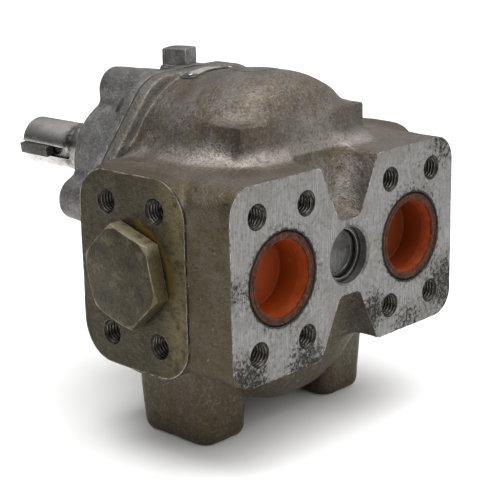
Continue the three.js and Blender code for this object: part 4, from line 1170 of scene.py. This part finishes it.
KEPT_SHAPES = (
    (GASKET, ("cover_gasket",)),
    (GEAR, ("drive_gear", "idler_gear", "idler_shaft", "dowel_left", "dowel_right")),
    (BLACK, ("drive_gear_key", "idler_gear_key")),
    (ALUMINIUM, ("rear_bushing_block", "front_bushing_block")),
    (BRONZE, ("drive_bush_rear", "drive_bush_front", "idler_bush_rear", "idler_bush_front")),
    (RUBBER, ("centre_plug_oring",)),
)
for MATERIAL, NODES in KEPT_SHAPES:
    for NODE in NODES:
        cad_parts[NODE].material_slots[0].material = MATERIAL


# ---- floor, light and camera ----

def floor_material():
    f = Finish("pale_floor")
    f.colour = f.mix(f.noise(60, 3), (0.86, 0.86, 0.85), (0.9, 0.9, 0.89))
    return f.finish(0.8)


def make_floor():
    half = 8000
    points = [(-half, -half, FOOT_Z), (half, -half, FOOT_Z), (half, half, FOOT_Z),
              (-half, half, FOOT_Z)]
    floor = build_mesh("floor", points, [(0, 1, 2, 3)], floor_material())


def add_light(name, kind, power, turn):
    light = add_object(name, bpy.data.lights.new(name, kind))
    light.data.energy = power
    light.rotation_mode = "QUATERNION"
    light.rotation_quaternion = turn
    return light


def area_light(name, place, size, power):
    """A square light at a place in local millimetres, aimed at the middle of the pump."""
    place = ORIGIN + Vector(place) * MM
    aim = ORIGIN + Vector((0, 80, 0)) * MM - place
    light = add_light(name, "AREA", power, aim.to_track_quat("-Z", "Y"))
    light.location = place
    light.data.size = size


def soft_sun(direction, strength):
    """Wide, even light from one side of the sky, the same all over the floor."""
    light = add_light("soft_sun", "SUN", strength, Vector(direction).to_track_quat("Z", "Y"))
    light.data.angle = math.radians(55)


def make_camera():
    """Camera behind the left port pad, slightly above the pump, turned a little about its aim."""
    azimuth, elevation, roll = map(math.radians, (-46.27, 15.83, 1.19))
    back = Vector((math.sin(azimuth) * math.cos(elevation),
                   -math.cos(azimuth) * math.cos(elevation), math.sin(elevation)))
    level = Vector((math.cos(azimuth), math.sin(azimuth), 0))
    upright = back.cross(level)
    right = level * math.cos(roll) - upright * math.sin(roll)
    up = upright * math.cos(roll) + level * math.sin(roll)
    camera = add_object("camera", bpy.data.cameras.new("camera"))
    place = Matrix((right, up, back)).transposed().to_4x4()
    place.translation = ORIGIN + Vector((-550.2, -454.8, 206.5)) * MM
    camera.matrix_world = place
    camera.data.sensor_width = 36
    camera.data.lens = 103.0896
    camera.data.clip_start = 0.01
    bpy.context.scene.camera = camera


def make_world():
    """Studio surroundings, brightest above and to the front right."""
    world = bpy.data.worlds.new("studio")
    world.use_nodes = True
    tree = world.node_tree
    coords = add_node(tree, "ShaderNodeTexCoord").outputs["Generated"]
    height = add_node(tree, "ShaderNodeVectorMath", {0: coords, 1: (0.25, -0.3, 1)},
                      operation="DOT_PRODUCT").outputs["Value"]
    brightness = add_node(tree, "ShaderNodeMapRange", {
        "Value": height, "From Min": -0.2, "From Max": 1.05, "To Min": 0.12, "To Max": 1.35},
        interpolation_type="SMOOTHSTEP").outputs["Result"]
    fill(tree, tree.nodes["Background"], {"Strength": 1, "Color": brightness})
    bpy.context.scene.world = world


make_floor()
soft_sun((0.15, -0.3, 1), 1.8)
area_light("front", (450, -1200, 300), 0.9, 1)
area_light("overhead", (-300, 200, 900), 0.45, 3.2)
make_world()
make_camera()
bpy.context.scene.view_settings.view_transform = "Standard"
